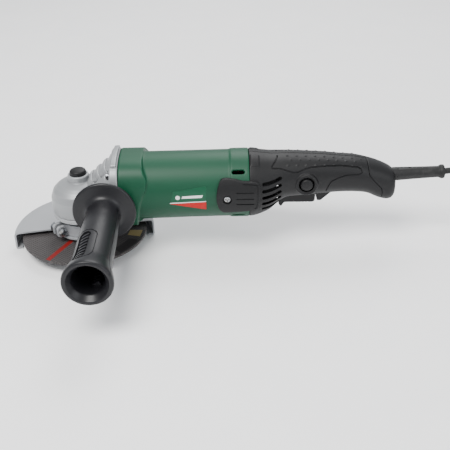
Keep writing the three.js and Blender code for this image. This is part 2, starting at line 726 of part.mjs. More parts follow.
/** A curved plate over the brush holder and the joint between the motor housing and the handle. */
function brushCover() {
  const inner = BODY_REAR_R + 0.7 + GAP;
  const shell = onMotorAxis(pipe(inner, inner + 2.2, BODY_END - 37, BODY_END + 13, 64));
  const mask = new THREE.Shape();
  mask.moveTo(-25.5, -16.5);
  mask.quadraticCurveTo(-37.5, 0.5, -28, 18);
  mask.lineTo(5, 17);
  mask.quadraticCurveTo(10, 16.5, 10, 12);
  mask.lineTo(8.5, -10);
  mask.quadraticCurveTo(8, -14, 4, -14.3);
  const prism = new THREE.ExtrudeGeometry(mask, { depth: 30, bevelEnabled: false, curveSegments: 6 });
  const plate = common(shell, along("-Y", prism).translate(BODY_END, -12, 0));
  const hole = along("-Y", rod(SCREW_HEAD_R + 0.9, 20, 40)).translate(coverScrewX, 0, 0);
  const grooves = [6, 0.5, -5].map((z) =>
    block([BODY_END - 13, -40, z - 0.5], [BODY_END + 3, -inner - 1.4, z + 0.5]));
  return cut(plate, hole, ...grooves);
}

function coverScrew() {
  const top = BODY_REAR_R + 0.7 + GAP + 1.8;
  const long = 11;
  return along("-Y", screw(SCREW_R, SCREW_HEAD_R + 0.5, 1.6, top, top - long)).translate(coverScrewX, 0, 0);
}

function brushSpring() {
  const from = COMMUTATOR_R + 11 + 2 * GAP;
  return along("-Y", spring(2.4, 0.35, from, BODY_REAR_R - 1, 4)).translate(brushX, 0, 0);
}

add("motor_housing", motorHousing(), GREEN);
addPair("brush_holder", brushHolder(), BRASS);
addPair("carbon_brush", brush(), CARBON);
addPair("brush_spring", brushSpring(), STEEL);
addPair("brush_cover", brushCover(), BLACK);
addPair("brush_cover_screw", coverScrew(), ZINC);
add(
  "air_baffle",
  onMotorAxis(pipe(FAN_R - 5, cavityR - 6, FAN_FROM + FAN_LONG + RUN, FAN_FROM + FAN_LONG + 2, FINE)),
  BLACK,
);

// ---------- Rear handle ----------

const handleStations = [
  { x: GAP, z: 0, wide: BODY_REAR_R + 0.6, high: BODY_REAR_R + 0.6 },
  { x: 11, z: 0.7, wide: 32, high: 31.6 },
  { x: 20, z: 2.6, wide: 29.3, high: 28.7 },
  { x: 28, z: 6.2, wide: 26.2, high: 25 },
  { x: 37, z: 9, wide: 24, high: 22.2 },
  { x: 55, z: 9.3, wide: 22.6, high: 21.1 },
  { x: 73, z: 9.4, wide: 21.2, high: 19.8 },
  { x: 88, z: 9, wide: 20, high: 18.5 },
  { x: 103, z: 8.2, wide: 19.4, high: 17.9 },
  { x: 116, z: 5.8, wide: 18.8, high: 17.2 },
  { x: 127, z: 1.4, wide: 18.2, high: 17.8 },
  { x: 135, z: -1.6, wide: 17.4, high: 17 },
  { x: 140, z: -2.8, wide: 15.6, high: 15 },
  { x: 143.5, z: -3, wide: 11.5, high: 11 },
];
const heel = { from: TRIGGER_REAR + RUN + 0.5, to: HEEL_TO, under: -19 };

/** Puts a piece made with its x counted from the motor housing's rear end in its place. */
function behindBody(geometry) {
  return geometry.translate(BODY_END, 0, 0);
}

/** The handle as one hollow skin, before it is split into two shells and an end cap. */
function handleSkin() {
  const outside = skin(handleStations, { sides: 28 });
  const heelBlock = hull([
    [heel.from, -7, -6], [heel.from, 7, -6], [heel.from, -6, heel.under], [heel.from, 6, heel.under],
    [heel.from + 4, -6, heel.under], [heel.from + 4, 6, heel.under], [heel.to, -6, -6], [heel.to, 6, -6],
  ]);
  const inner = handleStations.map((station) => ({ ...station }));
  inner[0].x -= 1;
  inner[inner.length - 1].x -= HANDLE_WALL;
  inner[inner.length - 2].x -= HANDLE_WALL / 2;
  const hollow = skin(inner, { sides: 28, grow: -HANDLE_WALL });
  return cut(join(outside, heelBlock), hollow);
}

/** A slab that holds everything behind the end cap's slanted joint. */
function behindJoint(shift) {
  const far = block([0, -60, -90], [90, 60, 90]);
  return far.rotateY(rad(-CAP_TILT)).translate(CAP_X + shift, 0, HANDLE_MID_Z);
}

const triggerSlot = block(
  [TRIGGER_FRONT - RUN, -TRIGGER_WIDE / 2 - RUN, -30],
  [TRIGGER_REAR + RUN, TRIGGER_WIDE / 2 + RUN, 0],
);
const farSide = 60;

function handleHalf(side) {
  const away = side === "left"
    ? block([-farSide, -GAP / 2, -farSide], [4 * farSide, farSide, farSide])
    : block([-farSide, -farSide, -farSide], [4 * farSide, GAP / 2, farSide]);
  const vents = [];
  const out = side === "left" ? -1 : 1;
  for (let i = 0; i < VENTS; i++) {
    const [y0, y1] = out < 0 ? [-farSide, -12] : [12, farSide];
    const vent = block([-VENT_LONG / 2, y0, -VENT_HIGH / 2], [VENT_LONG / 2, y1, VENT_HIGH / 2]);
    vents.push(vent.rotateY(rad(-VENT_TILT)).translate(VENT_X, 0, VENT_LOW + i * VENT_PITCH));
  }
  return cut(handleSkin(), away, behindJoint(-GAP / 2), triggerSlot, ...vents);
}

function leftShell() {
  const buttonPlace = (geometry) => along("-Y", geometry).translate(BUTTON_X, 0, BUTTON_Z);
  const ring = buttonPlace(rod(BUTTON_RING_R, 18, 23.8));
  const hole = buttonPlace(rod(BUTTON_R + RUN + 0.7, 15, 30));
  return cut(join(handleHalf("left"), ring), hole);
}

/** A round piece on the strain relief's slightly rising axis. */
function onReliefAxis(geometry) {
  return along("+X", geometry).rotateY(rad(-RELIEF_RISE)).translate(RELIEF_FROM, 0, RELIEF_Z);
}

const reliefLong = (RELIEF_TO - RELIEF_FROM) / Math.cos(rad(RELIEF_RISE));
const reliefR = 6.7;

function endCap() {
  const hole = onReliefAxis(rod(reliefR + GAP, -6.5, 12));
  return cut(handleSkin(), block([-farSide, -90, -90], [CAP_X - 60, 90, 90]), frontOfJoint(), hole);
}

function frontOfJoint() {
  const near = block([-120, -60, -90], [0, 60, 90]);
  return near.rotateY(rad(-CAP_TILT)).translate(CAP_X + GAP / 2, 0, HANDLE_MID_Z);
}

function strainRelief() {
  return onReliefAxis(turned(
    [
      [0, -9], [reliefR + 2, -9], [reliefR + 2, -7], [reliefR, -7], [reliefR, 8],
      [CORD_R + 2.5, reliefLong - 5], [CORD_R + 3.2, reliefLong - 4.2], [CORD_R + 3.9, reliefLong - 2],
      [CORD_R + 3.7, reliefLong], [0, reliefLong],
    ],
    COARSE,
  ));
}

function trigger() {
  const side = new THREE.Shape();
  side.moveTo(TRIGGER_FRONT, -14);
  side.lineTo(TRIGGER_FRONT + 1.5, -8.5);
  side.lineTo(TRIGGER_REAR - 2.5, -7.5);
  side.lineTo(TRIGGER_REAR, -11);
  side.lineTo(TRIGGER_REAR - 0.5, -18.5);
  side.quadraticCurveTo(TRIGGER_REAR - 2, -21, TRIGGER_REAR - 6, -21);
  side.lineTo(TRIGGER_FRONT + 8, -20.2);
  side.quadraticCurveTo(TRIGGER_FRONT + 5.5, -20.5, TRIGGER_FRONT + 5, -23);
  side.quadraticCurveTo(TRIGGER_FRONT + 3.2, -25.2, TRIGGER_FRONT + 1.6, -22.5);
  const bar = new THREE.ExtrudeGeometry(side, { depth: TRIGGER_WIDE, bevelEnabled: false, curveSegments: 4 });
  return along("-Y", bar).translate(0, TRIGGER_WIDE / 2, 0);
}

function lockOnButton() {
  const button = turned([
    [0, 13], [BUTTON_R, 13], [BUTTON_R, 24], [BUTTON_R - 1, 25.2], [BUTTON_R - 3, 25.9], [0, 26.2],
  ], COARSE);
  return along("-Y", button).translate(BUTTON_X, 0, BUTTON_Z);
}

add("handle_shell_left", behindBody(leftShell()), BLACK);
add("handle_shell_right", behindBody(handleHalf("right")), BLACK);
add("handle_end_cap", behindBody(endCap()), BLACK);
add("strain_relief", behindBody(strainRelief()), RUBBER);
add("trigger", behindBody(trigger()), BLACK);
add("lock_on_button", behindBody(lockOnButton()), BLACK);
add("switch_block", behindBody(block([35, -8, -2], [85, 8, 19])), GRIP);
add(
  "cord_clamp",
  behindBody(cut(block([95, -12, -1], [103, 12, 7]), along("+X", rod(CORD_R + GAP, 90, 108)))),
  GRIP,
);

// ---------- Guard ----------

/** A flat part of a ring between two angles. */
function ringPart(inner, outer, from, to, low, high, steps = 28) {
  const rim = arc(outer, from, to, steps).concat(arc(inner, to, from, steps));
  return slab(rim.map(([x, y]) => [x, y]), low, high);
}

const guardR = DISC_R + DISC_TO_GUARD;
const ringR = NECK_R + GAP;
const bandR = ringR + BAND_WALL;
const plateLow = GUARD_TOP - GUARD_WALL;
const bandLow = GUARD_TOP + GAP;
const bandMiddle = bandLow + BAND_HIGH / 2;
const earTo = bandR + EAR_REACH;
const earMiddle = (bandR + earTo) / 2;

function guardShell() {
  const collar = pipe(ringR, bandR + 3, plateLow, GUARD_TOP);
  const plate = ringPart(ringR + 1, guardR, GUARD_FROM, GUARD_TO, plateLow, GUARD_TOP);
  const skirt = ringPart(guardR - GUARD_WALL, guardR, GUARD_FROM, GUARD_TO, FLOOR, GUARD_TOP);
  const lip = ringPart(guardR - GUARD_LIP, guardR, GUARD_FROM, GUARD_TO, FLOOR, FLOOR + GUARD_WALL);
  return join(collar, plate, skirt, lip);
}

/** A piece made beside the clamp's gap, with its own x pointing out from the spindle. */
function atEars(geometry) {
  return geometry.rotateZ(rad(EAR_ANGLE));
}

function guardBand() {
  const half = EAR_GAP / 2;
  const band = pipe(ringR, bandR, bandLow, bandLow + BAND_HIGH);
  const ears = [1, -1].map((side) => {
    const [y0, y1] = side > 0 ? [half, half + 3] : [-half - 3, -half];
    return block([ringR + 0.5, y0, bandLow], [earTo, y1, bandLow + BAND_HIGH]);
  });
  const gap = block([ringR - 2, -half, bandLow - 1], [earTo + 1, half, bandLow + BAND_HIGH + 1]);
  const hole = along("+Y", rod(CLAMP_BOLT_R + GAP, -20, 20, 12)).translate(earMiddle, 0, bandMiddle);
  return atEars(cut(join(band, ...ears), gap, hole));
}

function clampBolt() {
  const reach = EAR_GAP / 2 + 3;
  const bolt = screw(CLAMP_BOLT_R, CLAMP_BOLT_R + 1.8, 3.4, reach + GAP + 3.4, -reach - 7);
  return atEars(along("+Y", bolt).translate(earMiddle, 0, bandMiddle));
}

function clampNut() {
  const reach = EAR_GAP / 2 + 3 + GAP;
  const nut = cut(rod(CLAMP_BOLT_R + 2.4, -reach - 5, -reach, 6), rod(CLAMP_BOLT_R + GAP, -reach - 6, 0, 12));
  return atEars(along("+Y", nut).translate(earMiddle, 0, bandMiddle));
}

add("guard_shell", guardShell(), SHEET);
add("guard_band", guardBand(), SHEET);
add("guard_clamp_bolt", clampBolt(), ZINC);
add("guard_clamp_nut", clampNut(), ZINC);

// ---------- Wheel ----------

const discBottom = DISC_TOP - DISC_THICK;

function innerFlange() {
  const pilot = DISC_BORE_R - GAP;
  return turned([
    [SPINDLE_R + GAP, DISC_TOP - 1.2], [pilot, DISC_TOP - 1.2], [pilot, DISC_TOP + GAP],
    [FLANGE_R - 1, DISC_TOP + GAP], [FLANGE_R, DISC_TOP + 1], [FLANGE_R - 1.5, neckBottom - RUN - 1.5],
    [13, neckBottom - RUN], [SPINDLE_R + GAP, neckBottom - RUN],
  ]);
}

function flangeNut() {
  const pilot = DISC_BORE_R - GAP;
  const body = turned([
    [SPINDLE_R + GAP, discBottom + 1.2], [pilot, discBottom + 1.2], [pilot, discBottom - GAP],
    [FLANGE_R, discBottom - GAP], [FLANGE_R, discBottom - 3.6], [14, discBottom - 4.6],
    [14, discBottom - 7.4], [SPINDLE_R + GAP, discBottom - 7.4],
  ]);
  const hole = rod(2.4, discBottom - 9, discBottom - 3, 12);
  return cut(body, hole.clone().translate(15.5, 0, 0), hole.clone().translate(-15.5, 0, 0));
}

add("inner_flange", innerFlange(), STEEL);
add("abrasive_disc", pipe(DISC_BORE_R, DISC_R, discBottom, DISC_TOP, 54), ABRASIVE);
add("flange_nut", flangeNut(), STEEL);

// ---------- Side handle ----------

function sideGrip() {
  const backFace = BOSS_FACE + GAP;
  const studEnd = 62;
  const boreFloor = GRIP_END - GRIP_BORE_DEEP;
  const body = turned([
    [0, studEnd + GAP], [STUD_R + GAP, studEnd + GAP], [STUD_R + GAP, backFace], [9, backFace],
    [COLLAR_R - 1, COLLAR_FACE - 3.6], [COLLAR_R, COLLAR_FACE - 2.4], [COLLAR_R - 0.8, COLLAR_FACE],
    [20, COLLAR_FACE + 2.2], [GRIP_R - 2.4, COLLAR_FACE + 6], [GRIP_R - 1.6, COLLAR_FACE + 14],
    [GRIP_R, COLLAR_FACE + 34], [GRIP_R + 0.6, COLLAR_FACE + 60], [GRIP_R + 0.8, COLLAR_FACE + 84],
    [GRIP_R + 2.6, GRIP_END - 17], [GRIP_FLARE_R - 0.8, GRIP_END - 6.5], [GRIP_FLARE_R, GRIP_END - 3],
    [GRIP_FLARE_R - 1, GRIP_END], [GRIP_BORE_R + 2.6, GRIP_END], [GRIP_BORE_R, GRIP_END - 3.4],
    [GRIP_BORE_R - 1.4, boreFloor], [0, boreFloor],
  ]);
  return along("-Y", body).translate(SIDE_X, 0, SIDE_Z);
}

function sideStud() {
  const stud = rod(STUD_R, BOSS_FACE - 13, 62, COARSE);
  return along("-Y", stud).translate(SIDE_X, 0, SIDE_Z);
}

add("side_handle_grip", sideGrip(), GRIP);
add("side_handle_stud", sideStud(), ZINC);

// ---------- Cord ----------

const coilOuterR = COIL_INNER_R + (COIL_COLUMNS - 1) * COIL_TURN;
const coilEdge = CORD_R + 0.3;
const coilTop = CORD_R + (COIL_LAYERS - 1) * COIL_TURN;
const relief = rad(RELIEF_RISE);
const exitX = BODY_END + RELIEF_FROM + (reliefLong + GAP) * Math.cos(relief);
const exitHigh = RELIEF_Z + (reliefLong + GAP) * Math.sin(relief) - FLOOR;

// x, y and the height above the floor
const leadRoute = [
  [exitX, 0, exitHigh], [367, 0, exitHigh + 0.8], [375, -0.3, 73.4], [383, -1, 72.6], [391, -2.2, 69.8],
  [398.5, -4, 64.4], [405, -6.4, 56.5], [410.5, -9.6, 46.5], [415.5, -13.8, 35], [421, -19.4, 23.5],
  [428, -27, 13.5], [437, -36.4, 6.8], [447.5, -46, 3.8], [459.5, -54.2, CORD_R + 0.1],
  [473.4, -60.1, CORD_R + 0.1],
];
const tailRoute = [
  [529.2, -31.1, coilTop], [530.3, -25.9, coilTop], [530.7, -20, coilTop], [530.9, -12, coilTop - 0.6],
  [531, -4, coilTop - 2.6], [531, 4, 17.4], [531, 12, 14.7], [531, 19, 13.6], [531, 24, 13.5],
];
const plugX = 531;
const plugHigh = 13.5;

function coilRing(grow) {
  const inner = COIL_INNER_R - coilEdge - grow;
  const outer = coilOuterR + coilEdge + grow;
  const top = coilTop + coilEdge + grow;
  const soft = 2;
  const low = -grow;
  const ring = turned([
    [inner, low], [outer, low], [outer, top - soft], [outer - soft, top], [inner + soft, top],
    [inner, top - soft],
  ], 32);
  return ring.translate(COIL_X, COIL_Y, FLOOR);
}

function cordAlong(route, steps) {
  const path = new THREE.CatmullRomCurve3(route.map(([x, y, high]) => new THREE.Vector3(x, y, FLOOR + high)));
  const section = new THREE.Shape().absarc(0, 0, CORD_R, 0, 2 * Math.PI);
  const tube = new THREE.ExtrudeGeometry(section, { steps, extrudePath: path, curveSegments: 4 });
  return cut(tube, coilRing(GAP));
}

/** A flat two-pin plug with a tapered sleeve, lying on its side. */
function plugBody() {
  const sleeve = { square: 2 };
  const shell = skin([
    { x: 24.3, wide: 3.9, high: 3.9, ...sleeve }, { x: 42, wide: 6, high: 5.6, ...sleeve },
    { x: 45, wide: 11, high: 9.4, square: 2.4 }, { x: 54, wide: 15.4, high: 12.4, square: 3 },
    { x: 79, wide: 18.3, high: 13.2, square: 3.4 }, { x: 84, wide: 18.3, high: 13.2, square: 3.4 },
  ], { sides: 20 });
  return shell.rotateZ(Math.PI / 2).translate(plugX, 0, FLOOR + plugHigh);
}

function plugPin(offset) {
  const pin = turned([[0, 84 + GAP], [2.4, 84 + GAP], [2.4, 101.5], [1.4, 103], [0, 103]], 12);
  return along("+Y", pin).translate(plugX + offset, 0, FLOOR + plugHigh);
}

add("cord_lead", cordAlong(leadRoute, 26), RUBBER);
add("cord_coil", coilRing(0), RUBBER);
add("cord_tail", cordAlong(tailRoute, 14), RUBBER);
add("plug_body", plugBody(), RUBBER);
add("plug_pin_1", plugPin(-9.5), BRASS);
add("plug_pin_2", plugPin(9.5), BRASS);

// ---------- Stand the tool on the guard's rim ----------

const cordNames = ["cord_lead", "cord_coil", "cord_tail", "plug_body", "plug_pin_1", "plug_pin_2"];
const box = new THREE.Box3();
for (const mesh of tray.children) {
  if (!cordNames.includes(mesh.name)) box.expandByObject(mesh);
}
tray.position.set(-(box.min.x + box.max.x) / 2, -(box.min.y + box.max.y) / 2, -box.min.z);

export default tool;
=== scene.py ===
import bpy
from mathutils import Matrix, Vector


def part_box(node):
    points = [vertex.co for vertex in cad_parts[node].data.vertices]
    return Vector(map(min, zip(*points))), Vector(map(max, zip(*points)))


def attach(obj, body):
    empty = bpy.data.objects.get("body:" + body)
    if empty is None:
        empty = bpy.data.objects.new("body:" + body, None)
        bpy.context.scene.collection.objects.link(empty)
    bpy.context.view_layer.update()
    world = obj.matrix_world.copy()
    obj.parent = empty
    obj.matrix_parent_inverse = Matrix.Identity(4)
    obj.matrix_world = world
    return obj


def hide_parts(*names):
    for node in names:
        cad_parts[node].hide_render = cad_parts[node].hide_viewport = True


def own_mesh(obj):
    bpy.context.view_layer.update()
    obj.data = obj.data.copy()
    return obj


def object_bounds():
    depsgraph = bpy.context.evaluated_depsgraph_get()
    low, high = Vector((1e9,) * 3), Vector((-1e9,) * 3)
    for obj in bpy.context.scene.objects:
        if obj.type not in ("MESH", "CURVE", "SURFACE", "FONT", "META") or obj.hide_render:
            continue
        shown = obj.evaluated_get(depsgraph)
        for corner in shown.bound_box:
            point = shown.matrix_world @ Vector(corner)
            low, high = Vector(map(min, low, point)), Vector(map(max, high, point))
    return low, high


bl_info = {
    "name": "Angle Grinder Builder",
    "version": (1, 0, 0),
    "blender": (4, 5, 0),
    "location": "View3D > Sidebar > Grinder",
    "description": "Builds the visible pieces of an angle grinder around its packed frame",
    "category": "Object",
}

import math

import bmesh
import bpy
from mathutils import Matrix, Vector

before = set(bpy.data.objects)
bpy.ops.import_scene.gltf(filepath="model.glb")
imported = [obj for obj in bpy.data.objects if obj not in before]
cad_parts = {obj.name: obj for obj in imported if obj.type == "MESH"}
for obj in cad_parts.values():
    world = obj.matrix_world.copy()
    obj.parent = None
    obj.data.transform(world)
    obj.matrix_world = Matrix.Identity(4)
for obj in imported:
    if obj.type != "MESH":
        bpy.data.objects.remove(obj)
CAD_BOX = [list(map(float, corner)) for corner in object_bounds()]

MM = 0.001


def middle(node):
    """The middle of a frame node's box, in metres."""
    low, high = (Vector(corner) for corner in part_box(node))
    return (low + high) / 2


# The tool's own axes: x = y = 0 is the spindle and y = z = 0 is the motor, +x runs to the cord.
HOME = Vector((middle("spindle").x, middle("armature_core").y, middle("armature_core").z))


def span(node):
    """The lowest and highest corner of a frame node in the tool's own axes, in millimetres."""
    return [(Vector(corner) - HOME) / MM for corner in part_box(node)]


FLOOR = span("guard_shell")[0].z
BODY_END = span("handle_shell_left")[0].x - 0.3
DISC_R = (span("abrasive_disc")[1].x - span("abrasive_disc")[0].x) / 2
DISC_LOW, DISC_TOP = span("abrasive_disc")[0].z, span("abrasive_disc")[1].z
GUARD_R = span("guard_shell")[1].y
GUARD_TOP = span("guard_shell")[1].z
NECK_LOW = span("gearbox_cover")[0].z
BAND_LOW, BAND_TOP = span("guard_band")[0].z, span("guard_band")[1].z
GRIP_END = -span("side_handle_grip")[0].y
SIDE_X = (span("side_handle_grip")[0].x + span("side_handle_grip")[1].x) / 2
SIDE_Z = (span("side_handle_grip")[0].z + span("side_handle_grip")[1].z) / 2
RELIEF_END = span("strain_relief")[1].x
JOINT = 42.3  # x of the joint between the gear head and the motor housing


def linear(code):
    """An sRGB hex colour as the linear values that shaders use."""
    values = [int(code[i : i + 2], 16) / 255 for i in (1, 3, 5)]
    return [v / 12.92 if v <= 0.04045 else ((v + 0.055) / 1.055) ** 2.4 for v in values] + [1.0]


# ---------- What a user would change ----------


def colour(name, code, description):
    return bpy.props.FloatVectorProperty(
        name=name, description=description, subtype="COLOR", size=4, min=0, max=1, default=linear(code)
    )


def size(name, value, description):
    return bpy.props.FloatProperty(
        name=name, description=description, default=value * MM, unit="LENGTH", min=0.00001, precision=5
    )


class GrinderColours(bpy.types.PropertyGroup):
    cast: colour("Gear head paint", "#8E9092", "Paint on the die-cast gear head")
    sheet: colour("Guard coat", "#95979A", "Powder coat on the wheel guard")
    green: colour("Motor housing", "#043F29", "Nylon of the motor housing")
    plate: colour("Name plate", "#08472F", "Raised plate on the motor housing")
    red: colour("Red wedge", "#AE0406", "Printed wedge under the plate")
    black: colour("Rear handle", "#09090B", "Nylon of the rear handle and the brush covers")
    grip: colour("Side handle", "#151518", "Nylon of the side handle")
    rubber: colour("Cord", "#0D0D0E", "Rubber of the cord and its sleeve")
    abrasive: colour("Abrasive", "#242122", "Resin and grit of the disc")
    stripe: colour("Disc stripe", "#74100D", "Printed stripe on the disc")


class GrinderSizes(bpy.types.PropertyGroup):
    cord: size("Cord", 6.2, "Diameter of the mains cord")
    skin: size("Mesh step", 0.5, "Spacing of the mesh on large moulded pieces")
    fine_skin: size("Fine mesh step", 0.34, "Spacing of the mesh on small pieces")
    dot: size("Grip dot", 1.2, "Radius of the dots on the rear handle")
    groove: size("Groove", 1.1, "Width of the moulded line on the rear handle")
    button_dome: size("Button dome", 2.2, "Height of the dome on the spindle lock button")
    camera_lens: bpy.props.FloatProperty(
        name="Lens", description="Focal length of the camera", default=61.3, min=10, max=300, unit="CAMERA"
    )


def colours():
    return bpy.context.scene.grinder_colours


def mm(name):
    """A size of the user's in millimetres."""
    return getattr(bpy.context.scene.grinder_sizes, name) / MM


# ---------- Shapes, all in millimetres in the tool's own axes ----------

OTHER_SIDE = Matrix.Scale(-1, 4, (0, 1, 0))

AXES = {
    "+X": ((0, 1, 0), (0, 0, 1), (1, 0, 0)),
    "-X": ((0, 0, 1), (0, 1, 0), (-1, 0, 0)),
    "+Y": ((0, 0, 1), (1, 0, 0), (0, 1, 0)),
    "-Y": ((1, 0, 0), (0, 0, 1), (0, -1, 0)),
    "+Z": ((1, 0, 0), (0, 1, 0), (0, 0, 1)),
}


def polar(radius, degrees):
    """A point at an angle round the origin."""
    angle = math.radians(degrees)
    return radius * math.cos(angle), radius * math.sin(angle)


def facing(axis, at=(0, 0, 0)):
    """The matrix that lays local z along an axis."""
    return Matrix.Translation(at) @ Matrix(AXES[axis]).transposed().to_4x4()


def held(mesh):
    """A work object that holds a mesh."""
    obj = bpy.data.objects.new("work", mesh)
    bpy.context.scene.collection.objects.link(obj)
    return obj


def face_outwards(mesh):
    form = bmesh.new()
    form.from_mesh(mesh)
    bmesh.ops.recalc_face_normals(form, faces=form.faces)
    form.to_mesh(mesh)
    form.free()


def shape(points, faces, matrix=None):
    """A closed work shape."""
    mesh = bpy.data.meshes.new("work")
    mesh.from_pydata([tuple(p) for p in points], [], faces)
    if matrix is not None:
        mesh.transform(matrix)
    face_outwards(mesh)
    return held(mesh)


def turned(profile, axis="+Z", at=(0, 0, 0), sides=96, arc=None):
    """Turns a profile of (radius, height) points. With an arc, in degrees, only that part is made."""
    start, stop = arc or (0, 360)
    steps = sides if arc is None else sides + 1
    points, rings = [], []
    for radius, height in profile:
        if radius < 1e-6:
            rings.append([len(points)] * steps)
            points.append((0, 0, height))
            continue
        rings.append(list(range(len(points), len(points) + steps)))
        for i in range(steps):
            angle = math.radians(start + (stop - start) * i / sides)
            points.append((radius * math.cos(angle), radius * math.sin(angle), height))
    on_axis = profile[0][0] < 1e-6 and profile[-1][0] < 1e-6
    pairs = list(zip(rings, rings[1:])) + ([] if on_axis else [(rings[-1], rings[0])])
    faces = []
    for near, far in pairs:
        for i in range(sides):
            j = (i + 1) % steps
            faces.append(list(dict.fromkeys((near[i], near[j], far[j], far[i]))))
    faces = [face for face in faces if len(face) > 2]
    if arc is not None:
        faces.append([ring[0] for ring in rings])
        faces.append([ring[-1] for ring in rings])
    return shape(points, faces, facing(axis, at))


def pipe(inner, outer, low, high, axis="+Z", at=(0, 0, 0), sides=96, arc=None):
    return turned([(inner, low), (outer, low), (outer, high), (inner, high)], axis, at, sides, arc)


def rod(radius, low, high, axis="+Z", at=(0, 0, 0), sides=48):
    return turned([(0, low), (radius, low), (radius, high), (0, high)], axis, at, sides)


def slab(outline, low, high, axis="+Z", at=(0, 0, 0)):
    """A flat outline with a thickness. Along -Y the outline is given as (x, z)."""
    count = len(outline)
    points = [(u, v, low) for u, v in outline] + [(u, v, high) for u, v in outline]
    faces = [list(range(count)), list(range(count, 2 * count))]
    faces += [[i, (i + 1) % count, count + (i + 1) % count, count + i] for i in range(count)]
    return shape(points, faces, facing(axis, at))


def block(low, high):
    outline = [(low[0], low[1]), (high[0], low[1]), (high[0], high[1]), (low[0], high[1])]
    return slab(outline, low[2], high[2])


def hull(points):
    form = bmesh.new()
    for point in points:
        form.verts.new(point)
    found = bmesh.ops.convex_hull(form, input=form.verts)
    spare = {e for e in found["geom_interior"] + found["geom_unused"] if isinstance(e, bmesh.types.BMVert)}
    bmesh.ops.delete(form, geom=list(spare), context="VERTS")
    mesh = bpy.data.meshes.new("work")
    form.to_mesh(mesh)
    form.free()
    return held(mesh)


def ball(at, radius):
    dome = [polar(radius, angle) for angle in range(-60, 61, 30)]
    return turned([(0, -radius), *dome, (0, radius)], at=at, sides=12)


def eased(rows, steps):
    """Puts points between rows of numbers on a smooth curve through them."""
    result = []
    for i in range(len(rows) - 1):
        before, a, b, after = rows[max(i - 1, 0)], rows[i], rows[i + 1], rows[min(i + 2, len(rows) - 1)]
        for k in range(steps):
            t = k / steps
            result.append(
                tuple(
                    0.5 * (2 * q + (r - p) * t + (2 * p - 5 * q + 4 * r - s) * t * t
                           + (3 * q - p - 3 * r + s) * t**3)
                    for p, q, r, s in zip(before, a, b, after)
                )
            )
    return result + [tuple(rows[-1])]


def rounded_square(x, z, wide, high, square, sides, grow=0):
    """A section across the motor axis: an ellipse at square 2, boxier above."""
    ring = []
    for i in range(sides):
        angle = 2 * math.pi * i / sides
        c, s = math.cos(angle), math.sin(angle)
        reach = (abs(c / (wide + grow)) ** square + abs(s / (high + grow)) ** square) ** (-1 / square)
        ring.append((x, reach * c, z + reach * s))
    return ring


def loft(stations, sides=112, grow=0):
    """A solid through sections given as (x, z, half width, half height, square)."""
    points = [p for station in stations for p in rounded_square(*station, sides, grow)]
    last = len(stations) - 1
    faces = [list(range(sides)), list(range(last * sides, (last + 1) * sides))]
    for k in range(last):
        for i in range(sides):
            j = (i + 1) % sides
            faces.append([k * sides + i, k * sides + j, (k + 1) * sides + j, (k + 1) * sides + i])
    return shape(points, faces)


def ribbon(line, wide):
    """The outline of a stripe of one width along a line of points, with round ends."""
    left, right = [], []
    for i, (x, y) in enumerate(line):
        x0, y0 = line[max(i - 1, 0)]
        x1, y1 = line[min(i + 1, len(line) - 1)]
        far = math.hypot(x1 - x0, y1 - y0)
        nx, ny = -(y1 - y0) / far * wide / 2, (x1 - x0) / far * wide / 2
        left.append((x + nx, y + ny))
        right.append((x - nx, y - ny))

    def cap(at, edge):
        out = []
        angle = math.atan2(edge[1] - at[1], edge[0] - at[0])
        for k in range(1, 6):
            a = angle - math.pi * k / 6
            out.append((at[0] + wide / 2 * math.cos(a), at[1] + wide / 2 * math.sin(a)))
        return out

    return left + cap(line[-1], left[-1]) + right[::-1] + cap(line[0], right[0])


def rounded(corners, radius):
    """An outline whose corners are rounded."""
    outline = []
    count = len(corners)
    for i, corner in enumerate(corners):
        here = Vector(corner)
        back = (Vector(corners[i - 1]) - here).normalized() * radius
        ahead = (Vector(corners[(i + 1) % count]) - here).normalized() * radius
        for k in range(7):
            t = k / 6
            outline.append(tuple(here + back * (1 - t) ** 2 + ahead * t**2))
    return outline


def worked(base, add=(), keep=(), cut=(), step=0, soften=0):
    """Joins, trims and cuts work shapes. With a step, a fine skin then rounds their edges as a mould does."""
    for how, others in (("UNION", add), ("INTERSECT", keep), ("DIFFERENCE", cut)):
        for other in others:
            tool = base.modifiers.new(how, "BOOLEAN")
            tool.operation = how
            tool.solver = "MANIFOLD"
            tool.object = other
    if step:
        skin = base.modifiers.new("skin", "REMESH")
        skin.mode = "VOXEL"
        skin.voxel_size = step
    if soften:
        smooth = base.modifiers.new("soften", "SMOOTH")
        smooth.factor = 0.5
        smooth.iterations = soften
    bpy.context.view_layer.update()
    mesh = bpy.data.meshes.new_from_object(base.evaluated_get(bpy.context.evaluated_depsgraph_get()))
    if not mesh.polygons:
        raise RuntimeError("a piece lost its whole mesh while it was cut")
    base.modifiers.clear()
    base.data = mesh
    for other in (*add, *keep, *cut):
        bpy.data.objects.remove(other)
    return base


def mirrored(obj):
    """A copy on the other side of the tool's middle plane."""
    mesh = obj.data.copy()
    mesh.transform(OTHER_SIDE)
    mesh.flip_normals()
    return held(mesh)


def turned_to(obj, matrix):
    obj.data.transform(matrix)
    return obj


def finished(obj, name, material, body, stands_for=(), sharp=38):
    """Names a worked shape, puts it in the frame, gives it its material and its body."""
    mesh = obj.data
    mesh.transform(Matrix.Translation(HOME) @ Matrix.Scale(MM, 4))
    mesh.shade_smooth()
    mesh.set_sharp_from_angle(angle=math.radians(sharp))
    obj.name = name
    mesh.name = name
    mesh.materials.clear()
    mesh.materials.append(material)
    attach(obj, body)
    if stands_for:
        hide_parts(*stands_for)
    return obj


# ---------- Materials ----------
# A source is a pair of a node and the name or number of its output.


